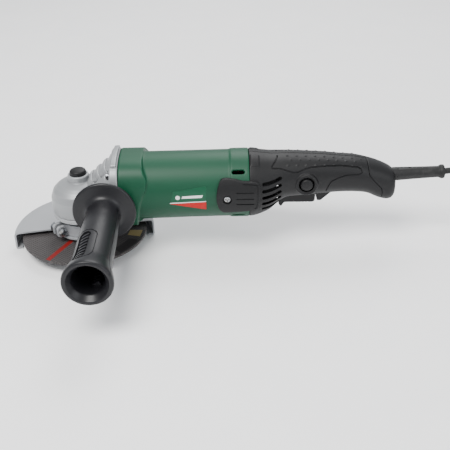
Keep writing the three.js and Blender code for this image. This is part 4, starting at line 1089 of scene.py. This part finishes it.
class GRINDER_OT_motor_housing(bpy.types.Operator):
    """Builds the green motor housing with its plate and printed wedge"""

    bl_idname = "grinder.motor_housing"
    bl_label = "Motor Housing"

    def execute(self, context):
        end = BODY_END
        barrel = loft(
            [
                (JOINT, -0.8, 32.8, 32.8, 2.4), (62, -0.7, 33.2, 33.2, 2.05), (110, -0.1, 33, 33, 2),
                (end - 19, 0.2, 33, 33, 2), (end - 17.4, 0.2, 33.9, 33.9, 2), (end - 0.6, 0.2, 33.9, 33.9, 2),
                (end, 0.2, 33.4, 33.4, 2),
            ],
            160,
        )
        edge = eased(
            [
                (57, -40), (58.6, -24), (60.4, -12), (62.6, -2), (67.4, 10), (69, 19), (66, 27), (64.6, 34),
                (64, 42),
            ],
            5,
        )
        rows = [(JOINT, -1.9, 33.7, 34.7, 3), (JOINT + 0.7, -1.9, 34.3, 35.3, 3), (75, -1.9, 34.3, 35.3, 3)]
        bulge = worked(
            loft(rows, 160),
            keep=[slab([(30, -45), *edge, (30, 45)], -40, 40, "-Y")],
        )
        key = hull(
            [
                (JOINT, -11, -38.4), (JOINT, 11, -38.4), (57, -10, -37.6), (57, 10, -37.6),
                (JOINT, -17, -34), (JOINT, 17, -34), (62, -12, -33), (62, 12, -33), (66, -8, -30), (66, 8, -30),
            ]
        )
        ledge_line = [(end - 17, -3.5), (end, -3.5), (end, 3.5), (end - 17, 3.5)]
        ledge = slab(rounded(ledge_line, 2), 32.6, 33.9, "-Y")
        slots = []
        for side in (1, -1):
            for tilt in (44, -44):
                slot = slab(ribbon([(end - 14.8, 0), (end - 10, 0), (end - 6.6, 0)], 4.2), 25, 42, "-Y")
                turn = Matrix.Rotation(math.radians(-tilt), 4, "X")
                slots.append(turned_to(slot, Matrix.Scale(side, 4, (0, 1, 0)) @ turn))
                face_outwards(slot.data)
        window_line = [(end - 13.5, -8), (end - 1.5, -8), (end - 1.5, 8), (end - 13.5, 8)]
        window = slab(rounded(window_line, 1), -40, 40, "-Y")
        outside = worked(barrel, add=[bulge, key, ledge], cut=slots, step=COARSE * mm("skin"), soften=4)
        inside = [
            turned(
                [(0, 37), (29.8, 37), (29.8, end - 4), (25.5, end - 1), (25.5, end + 3), (0, end + 3)],
                "+X",
                sides=128,
            ),
            rod(3, -40, 40, "+Y", (end - 21.6, 0, 0)),
            window,
        ]
        outside = worked(outside, cut=inside)
        spigot = pipe(25.5, 28, end - 1, end + 11, "+X", sides=128)
        seat = pipe(11.3, 14, end + 5.5, end + 12.8, "+X")
        spider = pipe(5.1, 25.6, end + 3, end + 5.5, "+X")
        holes = [
            rod(4, end + 2, end + 7, "+X", (0, 19.5 * math.cos(a), 19.5 * math.sin(a)), 32)
            for a in (math.radians(60 * i) for i in range(6))
        ]
        rear = worked(spider, add=[seat], cut=holes)
        posts = [
            worked(pipe(2.3, 4.6, JOINT, 55, "+X", (0, y, z), 32), keep=[rod(33, 38, 56, "+X", sides=96)])
            for y, z in SCREW_PLACES
        ]
        whole = worked(outside, add=[spigot, rear, *posts])
        finished(whole, "motor_barrel", green_nylon(), "tool", ["motor_housing"])

        plate_green = printed("Nylon plate, moulded in a lighter green", colours().plate, 0.36, 0.2)
        white = printed("White ink, pad printed", linear("#D9DCDA"), 0.4, 0.5)
        red = printed("Red ink, pad printed", colours().red, 0.38, 0.25)
        plate_line = rounded([(91.5, -3.2), (125.4, -2.2), (125.4, 12.6), (94, 7.8)], 1.5)
        stripe_line = [(90.4, -4.4), (125.2, -3.0), (125.2, -2.2), (91, -3.5)]
        wedge_line = rounded([(90.4, -4.6), (125.2, -3.3), (125.2, -12.6)], 0.8)
        dot = [(98.2 + x, 2 + z) for x, z in (polar(2.1, 15 * i) for i in range(24))]
        bar = [(101.8, 1.0), (121, 1.5), (122.2, 4.2), (102.9, 3.4)]
        for tag, line, proud, paint in (
            ("plate", plate_line, 0.22, plate_green),
            ("line", stripe_line, 0.3, white),
            ("wedge", wedge_line, 0.3, red),
        ):
            put_on_both_sides(on_barrel(line, 32, 33.08 + proud, 80, 140), tag, paint)
        marks = on_barrel(dot, 32.5, 33.4, 80, 140)
        put_on_both_sides(worked(marks, add=[on_barrel(bar, 32.5, 33.4, 80, 140)]), "marks", white)
        return {"FINISHED"}


class GRINDER_OT_brush_covers(bpy.types.Operator):
    """Builds the curved covers over the carbon brushes, with their screws"""

    bl_idname = "grinder.brush_covers"
    bl_label = "Brush Covers"

    def execute(self, context):
        end = BODY_END
        outline = eased(
            [
                (end - 25, -16), (end - 29.5, -11), (end - 31.8, 0), (end - 31, 9), (end - 28.4, 16.8),
                (end - 25.5, 19.2), (end - 20, 19.4),
            ],
            5,
        )
        outline += eased([(end - 13, 18.6), (end - 9.6, 17.6), (end - 6, 17), (end + 4, 16.4)], 3)
        outline += eased([(end + 8, 15.2), (end + 9.8, 12), (end + 9.9, 6)], 4)
        outline += eased(
            [(end + 9.4, -4), (end + 8.6, -9), (end + 6.6, -13), (end + 2, -14), (end - 12, -15.4)], 4
        )
        plate = on_barrel(outline, 33.2, 36.2, end - 40, end + 15)
        left = worked(plate, step=mm("fine_skin"), soften=4)
        at_screw = (end - 21.6, 0, 0)
        lines = [
            ribbon([(end - 12.3, z), (end - 4, z - 0.1), (end + 3.3, z - 0.2)], 1.3) for z in (6.9, 0.6, -5.2)
        ]
        edge_line = eased(
            [(end - 6, 14.6), (end + 5.4, 13.8), (end + 7.4, 11), (end + 7, -6), (end + 5, -11)], 6
        )
        lines.append(ribbon(edge_line, 0.7))
        floor_r = 35.5  # the grooves' bottom, from the motor's axis
        grooves = [
            worked(slab(line, 30, 45, "-Y"), cut=[rod(floor_r, 100, 200, "+X", sides=192)]) for line in lines
        ]
        left = worked(left, cut=grooves)
        left = worked(left, cut=[rod(4.5, 34.3, 45, "-Y", at_screw), rod(2.4, 20, 45, "-Y", at_screw)])
        right = mirrored(left)
        for side, cover, way, y in (("left", left, "-Y", -35.4), ("right", right, "+Y", 35.4)):
            name, stands_for = f"brush_hatch_{side}", [f"brush_cover_{side}"]
            finished(cover, name, black_nylon(), "tool", stands_for)
            screw = turned_to(cross_screw(2, 3.1, 1.9, -11), facing(way, (end - 21.6, y, 0)))
            name, stands_for = f"hatch_screw_{side}", [f"brush_cover_screw_{side}"]
            finished(screw, name, zinc_plated_steel(), "tool", stands_for)
        return {"FINISHED"}


# ---------- Rear handle ----------

# x from the motor housing's rear end, middle height, half width, half height and squareness
HANDLE_SECTIONS = [
    (0.3, 0.1, 33.6, 33.6, 2), (5, 0.3, 33.2, 33.1, 2), (11, 0.8, 32.2, 31.8, 2), (20, 2.6, 29.4, 28.8, 2.1),
    (28, 6.2, 26.2, 25, 2.2), (37, 9, 24, 22.2, 2.2), (55, 9.3, 22.6, 21.1, 2.2), (73, 9.4, 21.2, 19.8, 2.2),
    (88, 9, 20, 18.5, 2.2), (103, 8.2, 19.4, 17.9, 2.2), (116, 5.8, 18.8, 17.2, 2.2),
    (127, 1.4, 18.2, 17.8, 2.3), (135, -1.6, 17.4, 17, 2.4), (140, -2.8, 15.6, 15.2, 2.5),
    (142.6, -3, 13.2, 12.8, 2.5), (143.5, -3, 11.5, 11, 2.5),
]


def handle_solid(grow=0):
    """The handle's outer form, or the same form grown or shrunk."""
    rows = [(BODY_END + x, z, wide, high, square) for x, z, wide, high, square in HANDLE_SECTIONS]
    rows = eased(rows, 4)
    if grow:
        rows = [row for row in rows if row[0] < BODY_END + 141]
        rows[0] = (rows[0][0] - 1, *rows[0][1:])
    return loft(rows, 128, grow)


def handle_section(x):
    """The middle height, half width and half height of the handle so far behind the motor housing."""
    rows = HANDLE_SECTIONS
    near = min(range(len(rows) - 1), key=lambda i: abs(rows[i][0] - x))
    a, b = rows[near], rows[near + (1 if rows[near][0] < x else -1)]
    t = (x - a[0]) / (b[0] - a[0])
    return [a[i] + (b[i] - a[i]) * t for i in (1, 2, 3)]


def cap_joint(shift):
    """Everything behind the stepped joint of the end cap."""
    line = [
        (111, 45), (115.4, 19.5), (116, 13), (128.8, -1.2), (129.8, -6), (130.2, -40), (173, -40), (173, 45),
    ]
    return slab([(BODY_END + x + shift, z) for x, z in line], -45, 45, "-Y")


def vents():
    line = eased([(-7.9, -1.2), (-3, -0.8), (3, 0.5), (7.9, 2.4)], 5)
    return [
        slab([(BODY_END + 21.3 + x, z) for x, z in ribbon([(u, v + low) for u, v in line], 3.5)], 12, 45, "-Y")
        for low in (-14.2, -7.3, -0.4, 6.5, 13.4)
    ]


class GRINDER_OT_rear_handle(bpy.types.Operator):
    """Builds the two shells of the rear handle and the end cap"""

    bl_idname = "grinder.rear_handle"
    bl_label = "Rear Handle"

    def execute(self, context):
        end = BODY_END
        groove, dot = mm("groove"), mm("dot")
        # a moulded line that parts the dotted upper grip from the plain side
        line = [
            (31.5, 36), (27.5, 30.8), (23.6, 27.3), (21, 25.1), (21.3, 24.3), (24, 24.1), (29.5, 23.8),
            (34.5, 22.3), (42.2, 20), (47, 20.3), (53, 22.4), (59, 23.4), (73, 23.6), (88.5, 22.9), (104, 21),
            (107.5, 19.4), (108.6, 16.4), (106, 15.1), (93.3, 15), (85, 12.5), (78.6, 9.3), (75.5, 3),
            (74.7, -2.2),
        ]
        line = [(end + x, z) for x, z in line]
        for side in ("left", "right"):
            solid = handle_solid()
            away = -1 if side == "left" else 1
            heel = hull(
                [
                    (end + x, y, z)
                    for x, y, z in (
                        (67.6, -7, -6), (67.6, 7, -6), (67.6, -6.2, -18.4), (67.6, 6.2, -18.4),
                        (68.4, -6, -19.2), (68.4, 6, -19.2), (71.6, -6, -19.2), (71.6, 6, -19.2),
                        (86, -6.5, -6), (86, 6.5, -6),
                    )
                ]
            )
            dots = []
            for row, (angle, shift) in enumerate(((44, 0), (60, 3), (74, 0))):
                for k in range(9 if row != 1 else 8):
                    x = 37 + 8.9 * k + shift
                    z, wide, high = handle_section(x)
                    c, s = polar(1, angle)
                    reach = (abs(c / wide) ** 2.2 + abs(s / high) ** 2.2) ** (-1 / 2.2) - 0.55
                    dots.append(ball((end + x, away * reach * c, z + reach * s), dot))
            pad = worked(handle_solid(grow=0.7), keep=[block((end + 1.6, -20, 26.5), (end + 9.4, -7, 45))])
            adds = [heel, *dots, pad]
            early = [block((end - 5, -0.14, -50), (end + 180, 60, 60)), cap_joint(-0.15)]
            late = [
                handle_solid(grow=-2.6),
                worked(slab(ribbon(line, groove), 5, 45, "-Y"), cut=[handle_solid(grow=-0.8)]),
                *vents(),
            ]
            slot = block((end + 28, -6.6, -40), (end + 67.1, 6.6, 0))
            # a wall across the middle keeps light from shining through the vents of both shells
            wall = block((end + 12.9, -1.6, -24), (end + 33, -0.2, 30))
            if side == "left":
                ring = turned(
                    [
                        (0, 15), (11.2, 15), (11.2, 22.2), (10.9, 23.6), (10.2, 24.4), (9, 24.4), (7.4, 23.4),
                        (0, 23.4),
                    ],
                    "-Y",
                    (end + 55, 0, 7.5),
                )
                adds.append(ring)
                button_hole = [rod(7.5, 15, 32, "-Y", (end + 55, 0, 7.5), 64)]
            else:
                for part in (pad, wall, early[0], *late[1:]):
                    turned_to(part, OTHER_SIDE)
                    part.data.flip_normals()
                button_hole = []
            wall = worked(wall, keep=[handle_solid(grow=-2)])
            shell = worked(solid, add=adds, cut=early, step=mm("skin"), soften=3)
            shell = worked(shell, cut=late)
            shell = worked(shell, add=[wall], cut=[slot, *button_hole])
            name = f"handle_half_{side}"
            finished(shell, name, black_nylon(), "tool", [f"handle_shell_{side}"])

        cap = worked(handle_solid(), keep=[cap_joint(0.15)], step=mm("skin"), soften=3)
        rise = Matrix.Rotation(math.radians(-1.9), 4, "Y")
        hole = rod(7, -12, 20, sides=64)
        hole = turned_to(hole, Matrix.Translation((end + 138, 0, 5.4)) @ rise @ facing("+X"))
        inner = handle_solid(grow=-2.6)
        cap = worked(cap, cut=[inner, hole])
        finished(cap, "handle_cap", black_nylon(), "tool", ["handle_end_cap"])
        return {"FINISHED"}


class GRINDER_OT_strain_relief(bpy.types.Operator):
    """Builds the tapered sleeve where the cord leaves the handle"""

    bl_idname = "grinder.strain_relief"
    bl_label = "Strain Relief"

    def execute(self, context):
        start = BODY_END + 138
        long = (RELIEF_END - start) / math.cos(math.radians(1.9))
        profile = [
            (0, -9), (8.6, -9), (8.6, -7), (6.7, -7), (6.7, 8), (6.6, 12), (6.3, 20), (6.0, 30), (5.75, 40),
            (5.6, long - 5.4), (5.9, long - 4.8), (6.3, long - 4.4), (6.9, long - 3), (7.0, long - 1.2),
            (6.7, long - 0.2), (6.2, long), (3.3, long), (3.3, long - 6), (0, long - 7),
        ]
        sleeve = turned(profile, sides=80)
        # a flat and a small vent hole on each side, and one raised seam line along the top and the bottom
        holes = [rod(0.9, 5, 9, way, (0, 0, 21), 24) for way in ("+Y", "-Y")]
        flats = [
            turned_to(block((-3, 5.9, 9), (3, 8, 46)), Matrix.Rotation(math.radians(turn), 4, "Z"))
            for turn in (0, 180)
        ]
        seam_line = ((4, 8), (7.05, 8), (4, long - 6), (5.95, long - 6))
        seam = [(x, y, z) for x in (-0.35, 0.35) for y, z in seam_line]
        seams = [turned_to(hull(seam), Matrix.Rotation(math.radians(turn), 4, "Z")) for turn in (90, 270)]
        sleeve = worked(sleeve, add=seams, cut=flats, step=mm("fine_skin"), soften=2)
        sleeve = worked(sleeve, cut=holes)
        rise = Matrix.Rotation(math.radians(-1.9), 4, "Y")
        turned_to(sleeve, Matrix.Translation((start, 0, 5.4)) @ rise @ facing("+X"))
        finished(sleeve, "cord_sleeve", moulded_rubber(), "tool", ["strain_relief"])
        return {"FINISHED"}


class GRINDER_OT_switch(bpy.types.Operator):
    """Builds the trigger and the lock-on button"""

    bl_idname = "grinder.switch"
    bl_label = "Trigger and Lock-on Button"

    def execute(self, context):
        end = BODY_END
        front, rear = end + 28.8, end + 66.3
        outline = [(front, -14), (front + 1.5, -8.5), (rear - 2.5, -7.5), (rear, -11), (rear - 0.4, -18)]
        outline += eased([(rear - 0.8, -19.6), (rear - 2.6, -20.8), (rear - 6, -21)], 4)
        outline += eased(
            [
                (front + 20, -20.8), (front + 10, -20.5), (front + 6.6, -20.9), (front + 5.2, -22.6),
                (front + 4.2, -24.2), (front + 2.8, -24.6), (front + 1.4, -23), (front + 0.6, -19),
            ],
            4,
        )
        bar = slab(outline, -6, 6, "-Y")
        ribs = [rod(0.55, -6, 6, "+Y", (front + 14 + 3.2 * i, 0, -21), 16) for i in range(6)]
        bar = worked(bar, cut=ribs, step=mm("fine_skin"), soften=5)
        finished(bar, "trigger_lever", black_nylon(), "switch_trigger", ["trigger"])
        top = -span("lock_on_button")[0].y
        dome = [(polar(5.9, a)[0], top - 2.2 + polar(2.2, a)[1]) for a in range(6, 90, 8)]
        profile = [(0, 13), (6.2, 13), (6.2, top - 2.8), *dome, (0, top)]
        button = turned(profile, "-Y", (end + 55, 0, 7.5), 72)
        finished(button, "lock_on_knob", black_nylon(), "lock_on", ["lock_on_button"])
        return {"FINISHED"}


# ---------- Guard and wheel ----------


def fillet(centre, radius, start, stop, steps=6):
    """Points on a round corner in a profile."""
    turns = (start + (stop - start) * i / steps for i in range(steps + 1))
    return [(centre[0] + x, centre[1] + y) for x, y in (polar(radius, turn) for turn in turns)]


class GRINDER_OT_guard(bpy.types.Operator):
    """Builds the wheel guard, its clamping band and the clamp's bolt and nut"""

    bl_idname = "grinder.guard"
    bl_label = "Wheel Guard"

    def execute(self, context):
        top, outer, wall, bend = GUARD_TOP, GUARD_R, 1.6, 4.0
        profile = [
            (22.5, top - wall), (22.5, top), (28, top), (30.5, top - 0.1), (34, top - 0.2), (52, top - 0.2),
        ]
        profile += fillet((outer - bend, top - 0.2 - bend), bend, 90, 0, 8)
        profile += fillet((outer - 2.2, FLOOR + 2.2), 2.2, 0, -90, 5)
        lip = outer - 7
        profile += [(lip + 0.6, FLOOR), (lip, FLOOR + 0.6), (lip, FLOOR + 1), (lip + 0.6, FLOOR + wall)]
        profile += fillet((outer - 2.2, FLOOR + 2.2), 0.6, -90, 0, 3)
        profile += fillet((outer - bend, top - 0.2 - bend), bend - wall, 0, 90, 8)
        profile += [(52, top - 0.2 - wall), (30.5, top - wall - 0.1)]
        hood = turned(profile, arc=(8, 190.5), sides=150)
        collar = pipe(21.5, 26.6, top - wall, top, sides=128)
        shell = worked(hood, add=[collar])
        finished(shell, "guard_hood", powder_coated_steel(), "guard", ["guard_shell"], 30)

        low, high = BAND_LOW, BAND_TOP
        turn = Matrix.Rotation(math.radians(221), 4, "Z")
        band = pipe(21.5, 23.6, low, high, sides=128)
        ears = []
        ear_line = rounded([(22, low), (33, low), (33, high), (22, high)], 3.4)
        for near, far in ((-5, -2), (2, 5)):
            ears.append(turned_to(slab(ear_line, near, far, "-Y"), turn))
        gap = turned_to(block((20, -2, low - 1), (34, 2, high + 1)), turn)
        mid = (low + high) / 2
        hole = turned_to(rod(2.9, -10, 10, "+Y", (28.3, 0, mid)), turn)
        strap = worked(band, add=ears, cut=[gap, hole], step=mm("fine_skin"), soften=2)
        finished(strap, "guard_strap", powder_coated_steel(), "guard", ["guard_band"])

        bolt = turned_to(cross_screw(2.5, 4.3, 3.2, -20.8), turn @ facing("+Y", (28.3, 8.6, mid)))
        finished(bolt, "guard_bolt", zinc_plated_steel(), "guard", ["guard_clamp_bolt"])
        six = [polar(4.9, 60 * i) for i in range(6)]
        lens = turned([(0, -10.3), (4.2, -10.3), (5, -9.6), (5, -5.9), (4.2, -5.2), (0, -5.2)], sides=48)
        nut = worked(slab(six, -10.2, -5.3), keep=[lens], cut=[rod(2.8, -12, 0)])
        nut = turned_to(nut, turn @ facing("+Y", (28.3, 0, mid)))
        finished(nut, "guard_nut", zinc_plated_steel(), "guard", ["guard_clamp_nut"])
        return {"FINISHED"}


class GRINDER_OT_wheel(bpy.types.Operator):
    """Builds the abrasive disc with its printed stripe, its flanges and the spindle"""

    bl_idname = "grinder.wheel"
    bl_label = "Wheel and Spindle"

    def execute(self, context):
        low, top = DISC_LOW, DISC_TOP
        disc = turned(
            [
                (11.1, low + 0.2), (11.3, low), (36, low), (60, low), (DISC_R - 0.3, low + 0.15),
                (DISC_R, low + 0.5), (DISC_R, top - 0.5), (DISC_R - 0.3, top - 0.15), (60, top), (36, top),
                (11.3, top), (11.1, top - 0.2),
            ],
            sides=180,
        )
        finished(disc, "grinding_disc", bonded_abrasive(), "spindle_group", ["abrasive_disc"])
        ink = printed("Red ink on abrasive, stencilled", colours().stripe, 0.6, 0.9)
        gold = printed("Dull gold foil, printed", linear("#8A7A4E"), 0.45, 0.8)
        dark = printed("Dark grey ink, printed", linear("#1F1D1E"), 0.55, 0.7)
        ring = printed("Steel ring, pressed and lacquered", linear("#9C9891"), 0.35, 0.4)
        over = (top - 0.3, top + 0.06)
        under = (low - 0.06, low + 0.3)
        for name, inner, outer, arc, paint, face, sides in (
            ("disc_foil", 46, 59, (345, 357), gold, over, 96),
            ("disc_print", 50, 60.5, (312, 338), dark, over, 96),
            ("disc_ring", 11.4, 16.5, (0, 359.9), ring, over, 96),
            ("disc_foil_under", 46, 59, (140, 152), gold, under, 48),
            ("disc_print_under", 50, 60.5, (90, 120), dark, under, 48),
        ):
            film = pipe(inner, outer, *face, sides=sides, arc=arc)
            finished(film, name, paint, "spindle_group", (), 30)

        for name, angle, under, over in (
            ("disc_stripe", 243, top - 0.3, top + 0.07), ("disc_stripe_under", 40, low - 0.07, low + 0.3)
        ):
            turn = Matrix.Rotation(math.radians(angle), 4, "Z")
            film = turned_to(block((22, -2.4, under), (66, 2.4, over)), turn)
            film = worked(film, keep=[rod(DISC_R - 0.6, low - 1, top + 1, sides=128)])
            finished(film, name, ink, "spindle_group", (), 30)

        steel = spindle_steel()
        neck = NECK_LOW - 0.6
        flange = turned(
            [
                (6.3, top - 1.2), (10.8, top - 1.2), (10.8, top + 0.3), (20.2, top + 0.3), (20.8, top + 0.6),
                (21, top + 1.2), (19.6, neck - 1.5), (13.4, neck - 0.2), (13, neck), (6.3, neck),
            ],
            sides=96,
        )
        finished(flange, "backing_flange", steel, "spindle_group", ["inner_flange"], 25)
        nut = turned(
            [
                (6.3, low + 1.2), (10.8, low + 1.2), (10.8, low - 0.3), (20.5, low - 0.3), (21, low - 0.8),
                (21, low - 3.2), (20.6, low - 3.6), (14.4, low - 4.4), (14, low - 4.8), (14, low - 7),
                (13.6, low - 7.4), (6.9, low - 7.4), (6.3, low - 6.8),
            ],
            sides=96,
        )
        pins = [rod(2.4, low - 9, low - 3, at=(x, 0, 0)) for x in (15.5, -15.5)]
        nut = worked(nut, cut=pins)
        finished(nut, "clamping_nut", steel, "spindle_group", ["flange_nut"], 25)
        bottom, head = (corner.z for corner in span("spindle"))
        pitch, turns = 1.6, 9
        thread = []
        for i in range(turns):
            z = bottom + 1 + pitch * i
            thread += [(6.0, z), (6.0, z + 0.35), (5.45, z + 0.8), (5.45, z + 0.95), (6.0, z + 1.5)]
        profile = [(0, bottom), (5.1, bottom), (5.9, bottom + 0.8), *thread, (6, bottom + 17), (6, -3.5)]
        bar = turned([*profile, (5.4, -3.5), (5.4, head), (0, head)], sides=72)
        bar = worked(bar, cut=[block((-2.4, -2.4, head - 3.4), (2.4, 2.4, head + 1))])
        finished(bar, "spindle_bar", steel, "spindle_group", ["spindle"], 25)
        return {"FINISHED"}


# ---------- Side handle ----------


class GRINDER_OT_side_handle(bpy.types.Operator):
    """Builds the hollow side handle with its guard collar and its stud"""

    bl_idname = "grinder.side_handle"
    bl_label = "Side Handle"

    def execute(self, context):
        end = GRIP_END
        face = 44.2
        rows = [
            (16.6, face + 5), (15.6, face + 8), (15.2, face + 14), (16, face + 26), (16.8, face + 38),
            (17.3, face + 60), (17.4, face + 80), (17.9, end - 24), (19.1, end - 17), (20.7, end - 10),
            (21.6, end - 5.5), (21.9, end - 3), (21.8, end - 1.4), (21.2, end - 0.4), (20.4, end),
        ]
        profile = [
            (0, 62.3), (4.3, 62.3), (4.3, 38.3), (9, 38.3), (16, 39), (28.6, 40.2), (29.8, 41), (30.2, 42.2),
            (29.9, 43.6), (28.8, 44.5), (24, 45.4), (20, 46.4), (18, 47.6), *eased(rows, 4), (18.7, end),
            (18, end - 0.4), (17.4, end - 1.4), (14.8, end - 5), (14.2, end - 6), (12.8, end - 92), (0, end - 92),
        ]
        at = (SIDE_X, 0, SIDE_Z)
        body = turned(profile, "-Y", at, 144)
        centre = Matrix.Translation(at)

        def core(shrink):
            return turned([(0, 40), *[(r - shrink, y) for r, y in rows], (0, end + 3)], "-Y", at, 96)

        recesses, ribs = [], []
        for turn in (-25, 155):
            upright = centre @ Matrix.Rotation(math.radians(turn), 4, "Y")
            panel = slab(ribbon([(0, -110), (0, -128), (0, -146)], 11.5), 5, 30)
            recesses.append(worked(turned_to(panel, upright), cut=[core(1.6)]))
            outer = slab(ribbon([(0, -112), (0, -126), (0, -141)], 22.6), 5, 30)
            inner = slab(ribbon([(0, -112), (0, -126), (0, -141)], 20.4), 4, 31)
            recesses.append(worked(turned_to(worked(outer, cut=[inner]), upright), cut=[core(0.7)]))
            for i in range(8):
                y = -109.5 - 5.2 * i
                rib_line = rounded([(-3.6, y - 1.6), (3.6, y), (3.6, y + 2.2), (-3.6, y + 0.6)], 0.5)
                rib = slab(rib_line, 10, 30)
                ribs.append(worked(turned_to(rib, upright), keep=[core(0.6)]))
        for turn in (65, 245):
            seam = block((-0.4, -(end + 1), 8), (0.4, -50, 30))
            turned_to(seam, centre @ Matrix.Rotation(math.radians(turn), 4, "Y"))
            recesses.append(worked(seam, cut=[core(0.4)]))
        grip = worked(body, step=COARSE * mm("skin"), soften=3)
        grip = worked(grip, cut=recesses)
        grip = worked(grip, add=ribs)
        finished(grip, "side_grip", grip_nylon(), "tool", ["side_handle_grip"])
        stud = turned([(0, 25), (3.4, 25), (4, 25.8), (4, 61.4), (3.4, 62), (0, 62)], "-Y", at, 48)
        finished(stud, "side_grip_stud", zinc_plated_steel(), "tool", ["side_handle_stud"])
        return {"FINISHED"}


# ---------- What the frame already shapes well ----------


class GRINDER_OT_inner_works(bpy.types.Operator):
    """Gives the pieces inside the tool, whose frame shapes stay, their materials"""

    bl_idname = "grinder.inner_works"
    bl_label = "Inner Works"

    def execute(self, context):
        wanted = {
            spindle_steel: ["bevel_gear", "spindle_lower_bearing"],
            shaft_steel: [
                "pinion", "armature_shaft", "front_armature_bearing", "rear_armature_bearing", "brush_spring_left",
                "brush_spring_right",
            ],
            electrical_steel: ["armature_core", "stator_core"],
            wound_copper: [
                "armature_winding_front", "armature_winding_rear", "field_coil_left", "field_coil_right",
            ],
            commutator_copper: ["commutator"],
            pressed_brass: ["spindle_upper_bush", "brush_holder_left", "brush_holder_right"],
            pressed_carbon: ["carbon_brush_left", "carbon_brush_right"],
            painted_cast_aluminium: ["front_bearing_plate"],
            black_nylon: ["cooling_fan", "air_baffle"],
            grip_nylon: ["switch_block", "cord_clamp"],
        }
        for make, nodes in wanted.items():
            for node in nodes:
                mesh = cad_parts[node].data
                mesh.materials.clear()
                mesh.materials.append(make())
        return {"FINISHED"}


# ---------- Panel and start ----------

STEPS = (
    GRINDER_OT_stage,
    GRINDER_OT_cord,
    GRINDER_OT_gear_head,
    GRINDER_OT_lock_button,
    GRINDER_OT_motor_housing,
    GRINDER_OT_brush_covers,
    GRINDER_OT_rear_handle,
    GRINDER_OT_strain_relief,
    GRINDER_OT_switch,
    GRINDER_OT_guard,
    GRINDER_OT_wheel,
    GRINDER_OT_side_handle,
    GRINDER_OT_inner_works,
)


class GRINDER_PT_panel(bpy.types.Panel):
    """Lists the steps that build the grinder"""

    bl_idname = "GRINDER_PT_panel"
    bl_label = "Grinder"
    bl_space_type = "VIEW_3D"
    bl_region_type = "UI"
    bl_category = "Grinder"

    def draw(self, context):
        for step in STEPS:
            self.layout.operator(step.bl_idname)
        for group in (context.scene.grinder_sizes, context.scene.grinder_colours):
            for name in group.__annotations__:
                self.layout.prop(group, name)


CLASSES = (GrinderColours, GrinderSizes, *STEPS, GRINDER_PT_panel)


def register():
    for cls in CLASSES:
        bpy.utils.register_class(cls)
    bpy.types.Scene.grinder_colours = bpy.props.PointerProperty(type=GrinderColours)
    bpy.types.Scene.grinder_sizes = bpy.props.PointerProperty(type=GrinderSizes)


def unregister():
    del bpy.types.Scene.grinder_sizes
    del bpy.types.Scene.grinder_colours
    for cls in reversed(CLASSES):
        bpy.utils.unregister_class(cls)


def main():
    register()
    for step in STEPS:
        group, name = step.bl_idname.split(".")
        getattr(getattr(bpy.ops, group), name)()


if __name__ == "__main__":
    main()
